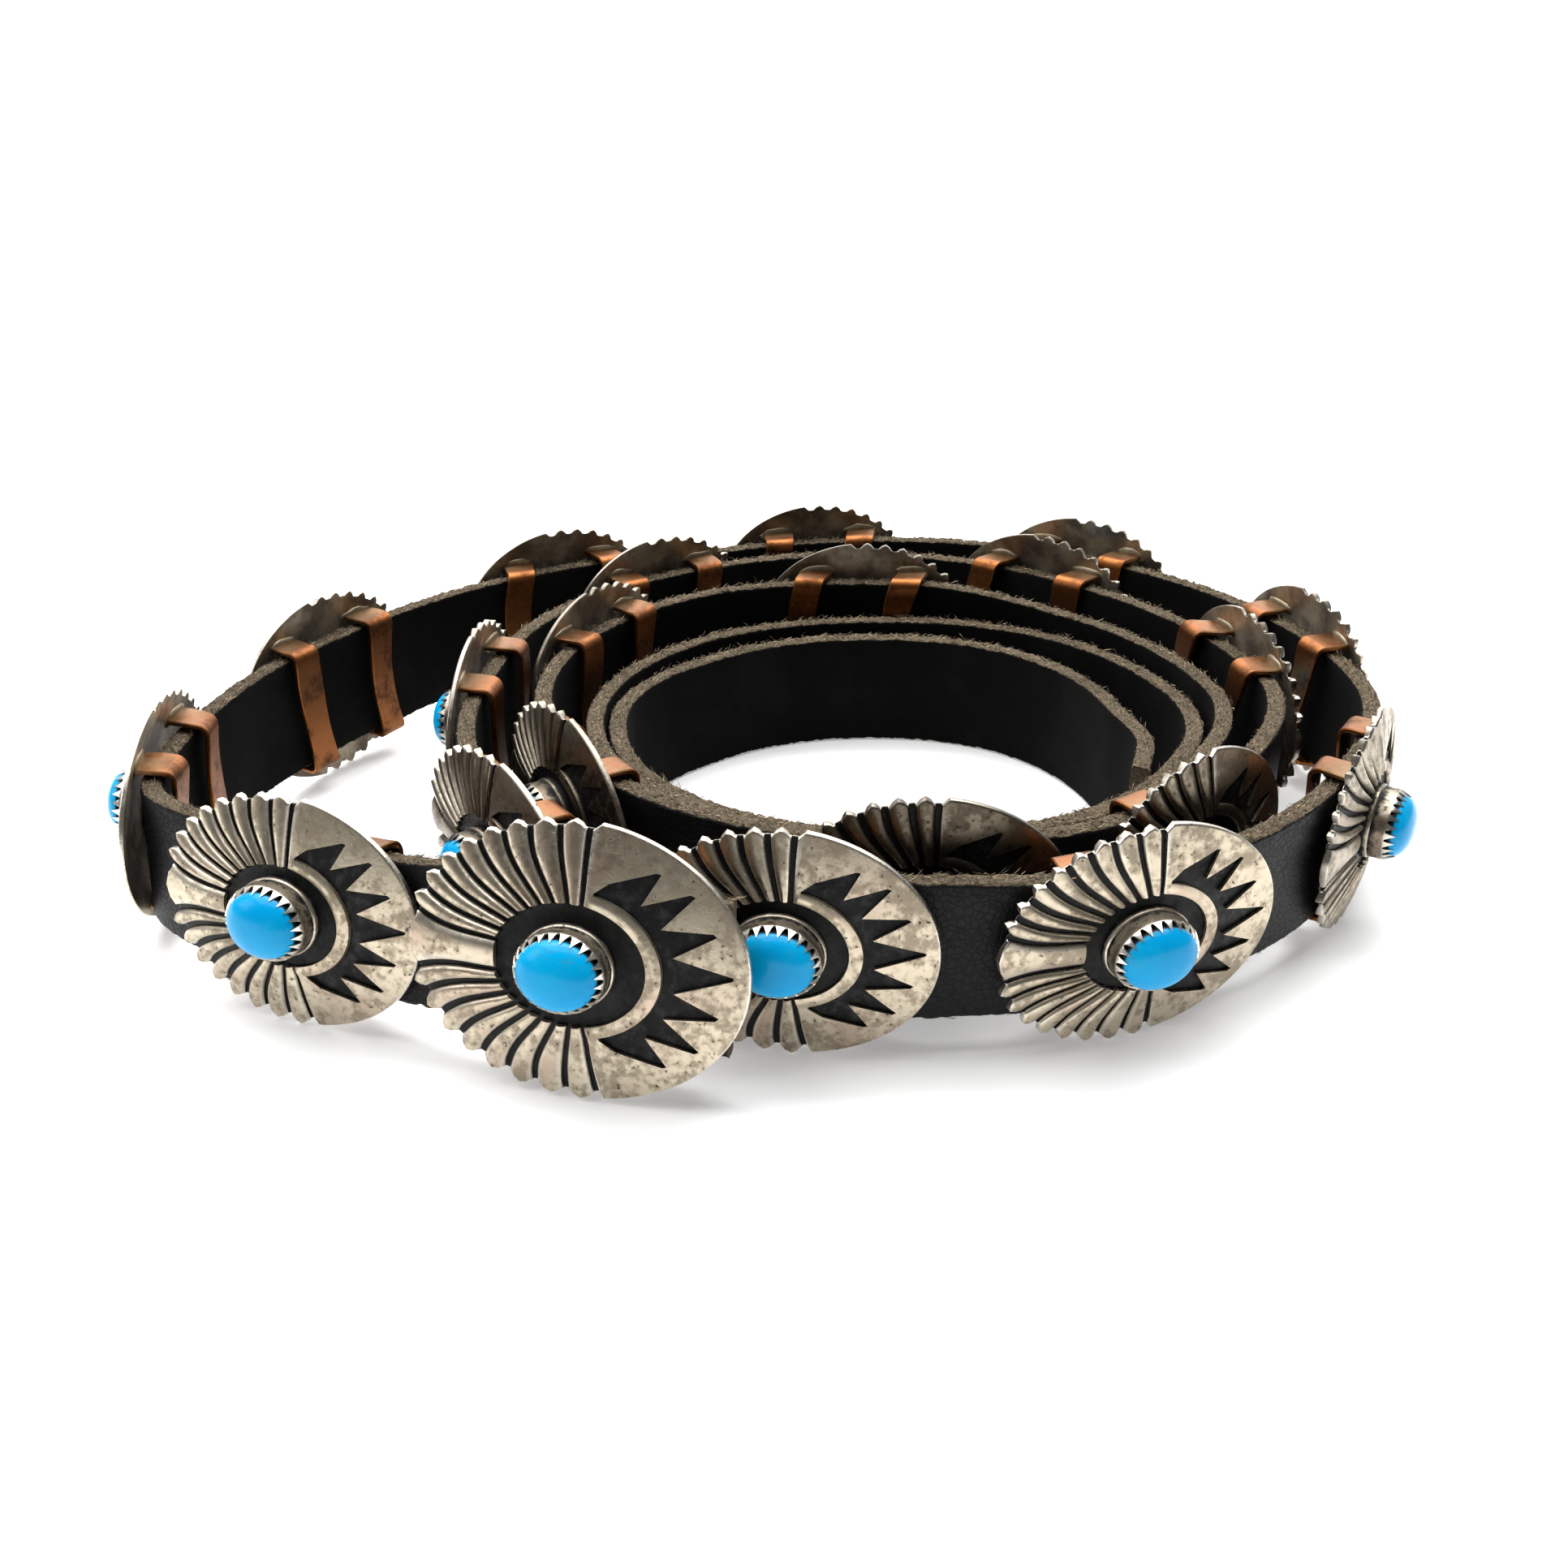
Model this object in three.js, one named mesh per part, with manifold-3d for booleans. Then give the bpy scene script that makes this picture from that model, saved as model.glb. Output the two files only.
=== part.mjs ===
// Concho belt, coiled on its edge on a flat surface. Millimetres, +Z up, the coil's front towards -Y.
// A leather strap winds into a spiral; oval silver conchos ride on it by two copper loops each.
import * as THREE from "three";
import * as BufferGeometryUtils from "three/addons/utils/BufferGeometryUtils.js";
import Module from "manifold-3d";

const wasm = await Module();
wasm.setup();

// Strap
const strapWidth = 16;
const strapThickness = 2.4;
const strapStep = 9;             // length of one faceted stretch of the strap
const coilRadius = 50;           // mean radius of the coil, which its shape follows

// Concho plate, as seen from outside: half length along the strap, half height across it
const plateHalfLength = 16;
const plateHalfHeight = 12.75;
const plateThickness = 1.0;
const plateRise = 1.8;           // how far the dome's middle stands out from its rim
const scallopDepth = 0.45;       // how far each notch of the fan's rim cuts in
const fanLobes = 17;
const buckleScale = 1.12;        // the end concho's plate against the others
const strapEndShare = 0.86;      // how far the strap reaches behind the end concho's outer half

// Bezel and stone
const bezelHalfLength = 4.9;
const bezelHalfHeight = 4.3;
const bezelHeight = 2.8;
const bezelWall = 0.5;
const stoneAboveBezel = 1.6;

// Copper loops on the plate's back
const loopWidth = 4.7;
const loopThickness = 0.8;
const loopSpacing = 14;          // between the middles of a concho's two loops
const loopPlayAcross = 0.9;      // spare room above the strap's middle and below it
const loopPlayBehind = 0.4;      // spare room behind a straight strap

// Facets round the dome, round the bezel and its stone, and along the rim's plain half
const domeSides = 12;
const domeRing = 0.62;           // where the dome's ring of facets lies between middle and rim
const bezelSides = 10;
const plainSteps = 8;

// Clearance between pieces that touch on the real belt
const clearance = 0.3;

// Derived sizes
const turnPitch = strapThickness + clearance;
const loopHalfOpening = strapWidth / 2 + loopPlayAcross;
const loopBack = strapThickness + 2 * clearance + loopPlayBehind;
const strapDrop = loopPlayAcross - clearance;
const strapEdge = strapWidth / 2 + strapDrop;
const fullTurn = 360;
const toRadians = Math.PI / 180;

// How far the strap's bend sits inside a concho's hollow back, where its lower edge meets it
const sunkInHollow = plateRise * (1 - (strapEdge / plateHalfHeight) ** 2) - clearance;

// What stands in the space between a turn and the next one in, beyond the leather itself:
// the copper loops of the turn, the domes and stones of the next turn in, or both
const loopReach = loopBack + loopThickness + sunkInHollow - strapThickness;
const stoneReach = plateThickness + plateRise + bezelHeight + stoneAboveBezel - sunkInHollow;
const standing = {
  bare: 0,
  loops: loopReach,
  stones: stoneReach,
  both: stoneReach + loopReach,
};

// Innermost turn: its radius by bearing, as shares of the coil radius. Bearings are in degrees,
// clockwise from above: 0 front, 90 left, 180 back, 270 right. Past the strap's inner end the
// rows only say how the turn outside it closes in
const innerTurn = [
  { bearing: 0, reach: 0.708 },
  { bearing: 45, reach: 0.716 },
  { bearing: 90, reach: 0.678 },
  { bearing: 135, reach: 0.558 },
  { bearing: 180, reach: 0.512 },
  { bearing: 225, reach: 0.552 },
  { bearing: 270, reach: 0.600 },
  { bearing: 300, reach: 0.700 },
  { bearing: 330, reach: 0.684 },
  { bearing: 360, reach: 0.654 },
];
const innerTurnNumber = 5;
const innerEndBearing = 302;     // where the strap's plain end lies against the turn outside it

// Every other turn: free space to the next turn in, as a share of the coil radius, and what
// stands in it. The outermost turn has its own bearings, because it swings wide on the left
const outerTurns = [
  { turn: 1, bearing: 0, air: 0.006, passes: "bare" },
  { turn: 1, bearing: 16, air: -0.000, passes: "stones" },
  { turn: 1, bearing: 30, air: 0.036, passes: "stones" },
  { turn: 1, bearing: 42, air: 0.094, passes: "stones" },
  { turn: 1, bearing: 48, air: 0.149, passes: "stones" },
  { turn: 1, bearing: 55, air: 0.255, passes: "stones" },
  { turn: 1, bearing: 63, air: 0.433, passes: "stones" },
  { turn: 1, bearing: 69, air: 0.525, passes: "stones" },
  { turn: 1, bearing: 77, air: 0.497, passes: "stones" },
  { turn: 1, bearing: 86, air: 0.448, passes: "stones" },
  { turn: 1, bearing: 109, air: 0.248, passes: "stones" },
  { turn: 1, bearing: 135, air: 0.078, passes: "stones" },
  { turn: 1, bearing: 146, air: 0.019, passes: "stones" },
  { turn: 1, bearing: 159, air: 0.032, passes: "loops" },
  { turn: 1, bearing: 173, air: 0.038, passes: "loops" },
  { turn: 1, bearing: 192, air: 0.073, passes: "loops" },
  { turn: 1, bearing: 214, air: 0.138, passes: "loops" },
  { turn: 1, bearing: 240, air: 0.156, passes: "loops" },
  { turn: 1, bearing: 258, air: 0.149, passes: "loops" },
  { turn: 1, bearing: 280, air: 0.123, passes: "loops" },
  { turn: 1, bearing: 303, air: 0.101, passes: "loops" },
  { turn: 1, bearing: 320, air: 0.012, passes: "stones" },
  { turn: 1, bearing: 338, air: 0.086, passes: "loops" },
  { turn: 2, bearing: 0, air: 0.006, passes: "stones" },
  { turn: 2, bearing: 20, air: 0.019, passes: "stones" },
  { turn: 2, bearing: 51, air: 0.004, passes: "both" },
  { turn: 2, bearing: 70, air: 0.016, passes: "stones" },
  { turn: 2, bearing: 93, air: 0.055, passes: "loops" },
  { turn: 2, bearing: 116, air: 0.005, passes: "stones" },
  { turn: 2, bearing: 143, air: 0.027, passes: "stones" },
  { turn: 2, bearing: 180, air: 0.096, passes: "stones" },
  { turn: 2, bearing: 205, air: 0.130, passes: "loops" },
  { turn: 2, bearing: 225, air: 0.062, passes: "loops" },
  { turn: 2, bearing: 250, air: 0.025, passes: "loops" },
  { turn: 2, bearing: 280, air: 0.018, passes: "loops" },
  { turn: 2, bearing: 315, air: 0.014, passes: "loops" },
  { turn: 2, bearing: 340, air: 0.016, passes: "loops" },
  { turn: 3, bearing: 0, air: 0.002, passes: "loops" },
  { turn: 3, bearing: 45, air: 0.002, passes: "loops" },
  { turn: 3, bearing: 90, air: 0.028, passes: "loops" },
  { turn: 3, bearing: 135, air: 0.048, passes: "loops" },
  { turn: 3, bearing: 180, air: 0.002, passes: "loops" },
  { turn: 3, bearing: 225, air: 0.014, passes: "bare" },
  { turn: 3, bearing: 270, air: 0.014, passes: "bare" },
  { turn: 3, bearing: 315, air: 0.006, passes: "bare" },
  { turn: 4, bearing: 0, air: 0.002, passes: "bare" },
  { turn: 4, bearing: 45, air: 0.002, passes: "bare" },
  { turn: 4, bearing: 90, air: 0.004, passes: "bare" },
  { turn: 4, bearing: 135, air: 0.068, passes: "bare" },
  { turn: 4, bearing: 180, air: 0.090, passes: "bare" },
  { turn: 4, bearing: 225, air: 0.120, passes: "bare" },
  { turn: 4, bearing: 270, air: 0.134, passes: "bare" },
  { turn: 4, bearing: 300, air: 0.006, passes: "bare" },
  { turn: 4, bearing: 330, air: -0.000, passes: "bare" },
];

// Conchos along the strap, from its outer end: where each sits, how far it leans back, and how
// far it is swung on the strap, anticlockwise from above
const buckleBearing = 30;
const seats = [
  { turn: 1, bearing: buckleBearing, lean: 12, swing: 2 },
  { turn: 1, bearing: 55, lean: 8, swing: 2 },
  { turn: 1, bearing: 76, lean: 4, swing: -3 },
  { turn: 1, bearing: 101, lean: 0, swing: 0 },
  { turn: 1, bearing: 134, lean: 0, swing: 0 },
  { turn: 1, bearing: 173, lean: 0, swing: 0 },
  { turn: 1, bearing: 214, lean: 0, swing: 0 },
  { turn: 1, bearing: 254, lean: 0, swing: 0 },
  { turn: 1, bearing: 295, lean: 0, swing: 0 },
  { turn: 1, bearing: 336, lean: -3, swing: 0 },
  { turn: 2, bearing: 14, lean: 2, swing: 0 },
  { turn: 2, bearing: 51, lean: 0, swing: 0 },
  { turn: 2, bearing: 93, lean: 0, swing: 0 },
  { turn: 2, bearing: 143, lean: 0, swing: 0 },
  { turn: 2, bearing: 212, lean: 0, swing: 0 },
  { turn: 2, bearing: 260, lean: 0, swing: 0 },
  { turn: 2, bearing: 318, lean: 0, swing: 0 },
  { turn: 3, bearing: -2, lean: -4, swing: 0 },
  { turn: 3, bearing: 58, lean: 0, swing: 0 },
  { turn: 3, bearing: 116, lean: 0, swing: 0 },
  { turn: 3, bearing: 179, lean: 0, swing: 0 },
];

// Past the last concho the plain strap comes down to the ground: height of its lower edge as a
// share of its height in a concho
const descent = [
  { turn: 3, bearing: 225, lift: 0.62 },
  { turn: 3, bearing: 270, lift: 0.52 },
  { turn: 4, bearing: 0, lift: 0.38 },
  { turn: 4, bearing: 90, lift: 0.18 },
  { turn: 4, bearing: 200, lift: 0.00 },
];

// Total bearing along the whole strap, so that the turns follow each other
function windingOf({ turn, bearing }) {
  return (turn - 1) * fullTurn + bearing;
}

// Monotone cubic curve through rows of (at, value), flat at its high and low rows
function smoothRows(rows) {
  const steps = rows.slice(1).map((row, i) => (row.value - rows[i].value) / (row.at - rows[i].at));
  const slopes = rows.map((row, i) => {
    if (i === 0 || i === rows.length - 1) return 0;
    const [before, after] = [steps[i - 1], steps[i]];
    return before * after <= 0 ? 0 : (2 * before * after) / (before + after);
  });
  return (at) => {
    if (at <= rows[0].at) return rows[0].value;
    if (at >= rows.at(-1).at) return rows.at(-1).value;
    const i = rows.findIndex((row) => row.at > at) - 1;
    const span = rows[i + 1].at - rows[i].at;
    const t = (at - rows[i].at) / span;
    const rise = t * t * (3 - 2 * t);
    return rows[i].value + (rows[i + 1].value - rows[i].value) * rise
      + span * (slopes[i] * t * (1 - t) ** 2 - slopes[i + 1] * t * t * (1 - t));
  };
}

// Radius of the strap's middle line at a winding: the innermost turn is given, and each turn
// outside it clears the one inside it
const innerStart = (innerTurnNumber - 1) * fullTurn;
const innerReach = smoothRows([
  ...innerTurn.map(({ bearing, reach }) => ({ at: innerStart + bearing, value: reach * coilRadius })),
]);
const spaceInside = smoothRows([
  ...outerTurns.map((row) => ({
    at: windingOf(row),
    value: turnPitch + standing[row.passes] + row.air * coilRadius,
  })),
  { at: innerStart, value: turnPitch },
]);

function radiusAt(winding) {
  if (winding >= innerStart) return innerReach(winding);
  return radiusAt(winding + fullTurn) + spaceInside(winding);
}

function planPoint(winding) {
  const angle = winding * toRadians;
  const radius = radiusAt(winding);
  return new THREE.Vector2(-radius * Math.sin(angle), -radius * Math.cos(angle));
}

// Middle line of the strap as even steps of length; the outer end stops behind the buckle's plate
const endBehindBuckle = strapEndShare * plateHalfLength * buckleScale;
const outerWinding = buckleBearing - endBehindBuckle / radiusAt(buckleBearing) / toRadians;
const innerWinding = innerStart + innerEndBearing;
const traceStep = 1;
const trace = [];
for (let winding = outerWinding; winding < innerWinding; winding += traceStep) {
  trace.push({ winding, point: planPoint(winding) });
}
trace.push({ winding: innerWinding, point: planPoint(innerWinding) });
trace.forEach((row, i) => {
  row.along = i === 0 ? 0 : trace[i - 1].along + row.point.distanceTo(trace[i - 1].point);
});
const strapLength = trace.at(-1).along;

function alongOf(winding) {
  const i = Math.max(1, trace.findIndex((row) => row.winding >= winding));
  const [a, b] = [trace[i - 1], trace[i]];
  return a.along + (b.along - a.along) * (winding - a.winding) / (b.winding - a.winding);
}

function middleAt(along) {
  const found = trace.findIndex((row) => row.along >= along);
  const i = found < 0 ? trace.length - 1 : Math.max(1, found);
  const [a, b] = [trace[i - 1], trace[i]];
  return a.point.clone().lerp(b.point, (along - a.along) / (b.along - a.along));
}

const headingReach = strapStep / 4;

function headingAt(along) {
  const at = Math.min(Math.max(along, headingReach), strapLength - headingReach);
  return middleAt(at + headingReach).sub(middleAt(at - headingReach)).normalize();
}

// Outward side of a heading that runs clockwise round the coil
function outwardOf(heading) {
  return new THREE.Vector2(-heading.y, heading.x);
}

function outerFaceAt(along) {
  return middleAt(along).addScaledVector(outwardOf(headingAt(along)), strapThickness / 2);
}

// A concho lies across the chord of the strap behind it, and stands off as far as the strap's
// bend needs inside its hollow back
const seatSamples = 16;

function seatConcho({ turn, bearing, lean, swing }, scale) {
  const along = alongOf(windingOf({ turn, bearing }));
  const half = plateHalfLength * scale;
  const low = outerFaceAt(Math.max(along - half, 0));
  const high = outerFaceAt(along + half);
  const heading = high.clone().sub(low).normalize()
    .rotateAround(new THREE.Vector2(), swing * toRadians);
  const outward = outwardOf(heading);
  const centre = outerFaceAt(along);
  let standOff = -plateRise;
  for (let i = 0; i <= seatSamples; i += 1) {
    const offset = (2 * i / seatSamples - 1) * half;
    const face = outerFaceAt(Math.max(along + offset, 0)).sub(centre);
    for (const height of [0, strapEdge]) {
      const share = (face.dot(heading) / half) ** 2 + (height / (plateHalfHeight * scale)) ** 2;
      const hollow = plateRise * (1 - share);
      if (share < 1) standOff = Math.max(standOff, face.dot(outward) - hollow);
    }
  }
  standOff += clearance;
  const tilt = lean * toRadians;
  const rimBottom = plateHalfHeight * scale * Math.cos(tilt) + Math.max(0, -plateThickness * Math.sin(tilt));
  const strapMiddle = rimBottom - strapDrop * Math.cos(tilt)
    - (strapThickness / 2 + standOff) * Math.sin(tilt);
  return { along, heading, outward, centre, standOff, tilt, rimBottom, strapMiddle };
}

const seated = seats.map((seat, i) => seatConcho(seat, i === 0 ? buckleScale : 1));

// The strap keeps one height and one lean from a concho's first loop to its second
function atLoops(valueOf) {
  const reach = (loopSpacing + loopWidth) / 2;
  return seated.flatMap((seat) => [-reach, reach].map(
    (offset) => ({ at: seat.along + offset, value: valueOf(seat) })));
}

// Height of the strap's middle and its lean along its length
const heldHeight = seated.at(-1).strapMiddle - strapWidth / 2;
const strapHeight = smoothRows([
  ...atLoops(({ strapMiddle }) => strapMiddle),
  ...descent.map((row) => ({
    at: alongOf(windingOf(row)),
    value: strapWidth / 2 + row.lift * heldHeight,
  })),
]);
const strapTilt = smoothRows(atLoops(({ tilt }) => tilt));

// Closed mesh from rings of points, joined by walls and closed by its two end rings
function meshFromRings(rings) {
  const count = rings[0].length;
  const positions = rings.flat().flatMap((p) => [p.x, p.y, p.z]);
  const triangles = [];
  for (let r = 0; r + 1 < rings.length; r += 1) {
    for (let i = 0; i < count; i += 1) {
      const [a, b] = [r * count + i, r * count + (i + 1) % count];
      triangles.push(a, b, b + count, a, b + count, a + count);
    }
  }
  const last = (rings.length - 1) * count;
  for (let i = 1; i + 1 < count; i += 1) {
    triangles.push(0, i + 1, i, last, last + i, last + i + 1);
  }
  return indexed(positions, triangles);
}

function indexed(positions, triangles) {
  const geometry = new THREE.BufferGeometry();
  geometry.setAttribute("position", new THREE.Float32BufferAttribute(positions, 3));
  geometry.setIndex(triangles);
  return geometry;
}

function strapGeometry() {
  const steps = Math.ceil(strapLength / strapStep);
  const rings = [];
  for (let i = 0; i <= steps; i += 1) {
    const along = strapLength * i / steps;
    const middle = middleAt(along);
    const side = outwardOf(headingAt(along));
    const tilt = strapTilt(along);
    const outward = new THREE.Vector3(side.x * Math.cos(tilt), side.y * Math.cos(tilt), Math.sin(tilt));
    const upward = new THREE.Vector3(-side.x * Math.sin(tilt), -side.y * Math.sin(tilt), Math.cos(tilt));
    const centre = new THREE.Vector3(middle.x, middle.y, strapHeight(along));
    const corners = [[-1, -1], [1, -1], [1, 1], [-1, 1]];
    rings.push(corners.map(([out, up]) => centre.clone()
      .addScaledVector(outward, out * strapThickness / 2)
      .addScaledVector(upward, up * strapWidth / 2)));
  }
  return meshFromRings(rings);
}

// Bearings of a ring's points about its middle, counted from the ring's own first point
function turnsOf(ring) {
  const start = Math.atan2(ring[0].y, ring[0].x);
  const full = 2 * Math.PI;
  const turns = ring.map((p) => (Math.atan2(p.y, p.x) - start + full) % full);
  return [...turns, full];
}

// Join two closed rings of points with different counts by walking round both side by side
function stitch(triangles, from, fromRing, to, toRing) {
  const [fromTurns, toTurns] = [turnsOf(fromRing), turnsOf(toRing)];
  let [i, j] = [0, 0];
  while (i < fromRing.length || j < toRing.length) {
    const stepFrom = j === toRing.length || (i < fromRing.length && fromTurns[i + 1] <= toTurns[j + 1]);
    const [a, b] = [from + i % fromRing.length, to + j % toRing.length];
    if (stepFrom) {
      triangles.push(a, from + (i + 1) % fromRing.length, b);
      i += 1;
    } else {
      triangles.push(a, to + (j + 1) % toRing.length, b);
      j += 1;
    }
  }
}

// Rim of the plate: the left half is a fan of rounded lobes with a notch between each two
function rimOutline(scale) {
  const points = [];
  const lobeStep = 180 / fanLobes;
  for (let lobe = 0; lobe < fanLobes; lobe += 1) {
    const notch = 90 + lobe * lobeStep;
    points.push({ angle: notch, cut: lobe === 0 ? 0 : scallopDepth });
    points.push({ angle: notch + lobeStep / 2, cut: 0 });
  }
  for (let i = 0; i < plainSteps; i += 1) points.push({ angle: 270 + 180 * i / plainSteps, cut: 0 });
  return points.map(({ angle, cut }) => {
    const along = (plateHalfLength * scale - cut) * Math.cos(angle * toRadians);
    const up = (plateHalfHeight * scale - cut) * Math.sin(angle * toRadians);
    return new THREE.Vector3(along, up, 0);
  });
}

function ovalRing(halfLength, halfHeight, height, count) {
  return Array.from({ length: count }, (_, i) => {
    const angle = Math.PI / 2 + 2 * Math.PI * i / count;
    return new THREE.Vector3(halfLength * Math.cos(angle), halfHeight * Math.sin(angle), height);
  });
}

// Plate and bezel in one closed skin. Local axes: x along the strap, y up, z outward from the rim
function plateGeometry(scale) {
  const rim = rimOutline(scale);
  const [length, height] = [plateHalfLength * scale, plateHalfHeight * scale];
  const mid = (z) => ovalRing(length * domeRing, height * domeRing, z, domeSides);
  const midRise = plateRise * (1 - domeRing * domeRing);
  const bezelShare = bezelHalfLength / length;
  const bezelBase = plateRise * (1 - bezelShare * bezelShare);
  const top = plateThickness + plateRise + bezelHeight;
  const bezelRing = (inset, z) => ovalRing(bezelHalfLength - inset, bezelHalfHeight - inset, z, bezelSides);
  const rings = [
    [new THREE.Vector3(0, 0, plateRise)],
    mid(midRise),
    rim,
    rim.map((p) => p.clone().setZ(plateThickness)),
    mid(plateThickness + midRise),
    bezelRing(0, plateThickness + bezelBase),
    bezelRing(0, top),
    bezelRing(bezelWall, top),
    bezelRing(bezelWall, plateThickness + plateRise),
    [new THREE.Vector3(0, 0, plateThickness + plateRise)],
  ];
  const positions = rings.flat().flatMap((p) => [p.x, p.y, p.z]);
  const triangles = [];
  let start = 0;
  for (let r = 0; r + 1 < rings.length; r += 1) {
    const next = start + rings[r].length;
    if (rings[r].length === 1) {
      const count = rings[r + 1].length;
      for (let i = 0; i < count; i += 1) triangles.push(start, next + (i + 1) % count, next + i);
    } else if (rings[r + 1].length === 1) {
      for (let i = 0; i < rings[r].length; i += 1) {
        triangles.push(start + i, start + (i + 1) % rings[r].length, next);
      }
    } else {
      stitch(triangles, start, rings[r], next, rings[r + 1]);
    }
    start = next;
  }
  return indexed(positions, triangles);
}

// One copper strip: from the plate's back over the strap, down behind it and back under it
function loopGeometry(scale) {
  const innerTop = loopHalfOpening;
  const outerTop = innerTop + loopThickness;
  const share = (loopSpacing / 2 / (plateHalfLength * scale)) ** 2
    + (outerTop / (plateHalfHeight * scale)) ** 2;
  const tab = plateRise * (1 - share) + plateThickness / 2;
  const bend = loopThickness;
  const [innerBack, outerBack] = [-loopBack, -loopBack - loopThickness];
  const outline = [
    [tab, outerTop], [outerBack + bend, outerTop], [outerBack, outerTop - bend],
    [outerBack, bend - outerTop], [outerBack + bend, -outerTop], [tab, -outerTop],
    [tab, -innerTop], [innerBack, -innerTop], [innerBack, innerTop], [tab, innerTop],
  ];
  const shape = new THREE.Shape(outline.map(([z, y]) => new THREE.Vector2(z, y)));
  const geometry = new THREE.ExtrudeGeometry(shape, { depth: loopWidth, bevelEnabled: false });
  const toLocal = new THREE.Matrix4().set(
    0, 0, -1, loopWidth / 2,
    0, 1, 0, 0,
    1, 0, 0, 0,
    0, 0, 0, 1,
  );
  return geometry.applyMatrix4(toLocal);
}

// Cabochon: straight where the bezel grips it, then two rings of a dome
const cabochonRings = [
  { width: 0.84, rise: 0.55 },
  { width: 0.45, rise: 1.00 },
];

function stoneGeometry() {
  const seat = plateThickness + plateRise + clearance;
  const top = plateThickness + plateRise + bezelHeight;
  const inset = bezelWall + clearance;
  const ring = (share, z) => ovalRing(
    (bezelHalfLength - inset) * share, (bezelHalfHeight - inset) * share, z, bezelSides);
  return meshFromRings([
    ring(1, seat),
    ring(1, top),
    ...cabochonRings.map(({ width, rise }) => ring(width, top + rise * stoneAboveBezel)),
  ]);
}

const mergeTolerance = 1e-4;

function toManifold(geometry) {
  const bare = geometry.clone();
  bare.deleteAttribute("normal");
  bare.deleteAttribute("uv");
  const merged = BufferGeometryUtils.mergeVertices(bare, mergeTolerance);
  return new wasm.Manifold(new wasm.Mesh({
    numProp: 3,
    vertProperties: new Float32Array(merged.attributes.position.array),
    triVerts: new Uint32Array(merged.index.array),
  }));
}

function fromManifold(solid) {
  const mesh = solid.getMesh();
  return indexed(Array.from(mesh.vertProperties), Array.from(mesh.triVerts));
}

function conchoGeometry(scale) {
  const plate = toManifold(plateGeometry(scale));
  const loops = [-1, 1].map((side) => toManifold(
    loopGeometry(scale).translate(side * loopSpacing / 2, 0, 0)));
  return fromManifold(loops.reduce((solid, loop) => solid.add(loop), plate));
}

const leather = new THREE.MeshStandardMaterial({ color: 0x17171a, roughness: 0.55, metalness: 0 });
const silver = new THREE.MeshStandardMaterial({ color: 0xb9b2a4, roughness: 0.3, metalness: 1 });
const turquoise = new THREE.MeshStandardMaterial({ color: 0x1fa3e6, roughness: 0.15, metalness: 0 });

function named(name, geometry, material) {
  const mesh = new THREE.Mesh(geometry, material);
  mesh.name = name;
  return mesh;
}

// Local axes of a seated concho: x runs against the strap's heading, so that it points right as
// seen from outside
function placeConcho(group, { heading, outward, centre, standOff, tilt, rimBottom }) {
  const along = new THREE.Vector3(-heading.x, -heading.y, 0);
  const out = new THREE.Vector3(outward.x * Math.cos(tilt), outward.y * Math.cos(tilt), Math.sin(tilt));
  const up = new THREE.Vector3(-outward.x * Math.sin(tilt), -outward.y * Math.sin(tilt), Math.cos(tilt));
  group.matrixAutoUpdate = false;
  group.matrix.makeBasis(along, up, out);
  group.matrix.setPosition(
    centre.x + outward.x * standOff, centre.y + outward.y * standOff, rimBottom);
}

const belt = new THREE.Group();
belt.add(named("strap", strapGeometry(), leather));
const stone = stoneGeometry();
const plainConcho = conchoGeometry(1);
const buckleConcho = conchoGeometry(buckleScale);
seated.forEach((seat, i) => {
  const holder = new THREE.Group();
  const number = String(i).padStart(2, "0");
  const isBuckle = i === 0;
  holder.add(named(isBuckle ? "buckle_concho" : `concho_${number}`,
    isBuckle ? buckleConcho : plainConcho, silver));
  holder.add(named(isBuckle ? "buckle_stone" : `stone_${number}`, stone, turquoise));
  placeConcho(holder, seat);
  belt.add(holder);
});

// The origin is on the ground, under the middle of the whole coil
belt.updateMatrixWorld(true);
const box = new THREE.Box3().setFromObject(belt, true);
const middle = box.getCenter(new THREE.Vector3());
belt.position.set(-middle.x, -middle.y, -box.min.z);

export default belt;
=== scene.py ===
"""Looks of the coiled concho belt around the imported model. Metres, +Z up, front towards -Y."""

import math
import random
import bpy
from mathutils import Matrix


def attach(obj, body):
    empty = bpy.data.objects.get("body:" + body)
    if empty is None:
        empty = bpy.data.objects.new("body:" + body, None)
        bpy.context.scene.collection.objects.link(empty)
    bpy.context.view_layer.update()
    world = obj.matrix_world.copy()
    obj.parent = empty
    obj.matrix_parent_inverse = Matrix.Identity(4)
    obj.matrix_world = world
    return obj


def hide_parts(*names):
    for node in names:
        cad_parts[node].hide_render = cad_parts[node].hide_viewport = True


bl_info = {
    "name": "Concho belt",
    "version": (1, 0, 0),
    "blender": (4, 5, 0),
    "location": "3D View > Sidebar > Concho belt",
    "description": "Dresses the coiled concho belt in silver, turquoise, copper and leather",
    "category": "Object",
}

import bpy
import numpy as np
from bpy.props import FloatProperty, FloatVectorProperty, IntProperty, PointerProperty
from mathutils import Matrix, Vector, noise

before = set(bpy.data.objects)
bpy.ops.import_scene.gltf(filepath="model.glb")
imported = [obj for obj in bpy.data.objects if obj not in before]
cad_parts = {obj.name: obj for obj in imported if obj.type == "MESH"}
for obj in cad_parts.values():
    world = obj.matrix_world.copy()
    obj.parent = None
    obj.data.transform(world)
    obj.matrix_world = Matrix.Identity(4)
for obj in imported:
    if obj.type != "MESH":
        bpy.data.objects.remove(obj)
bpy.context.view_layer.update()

MM = 0.001

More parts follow.
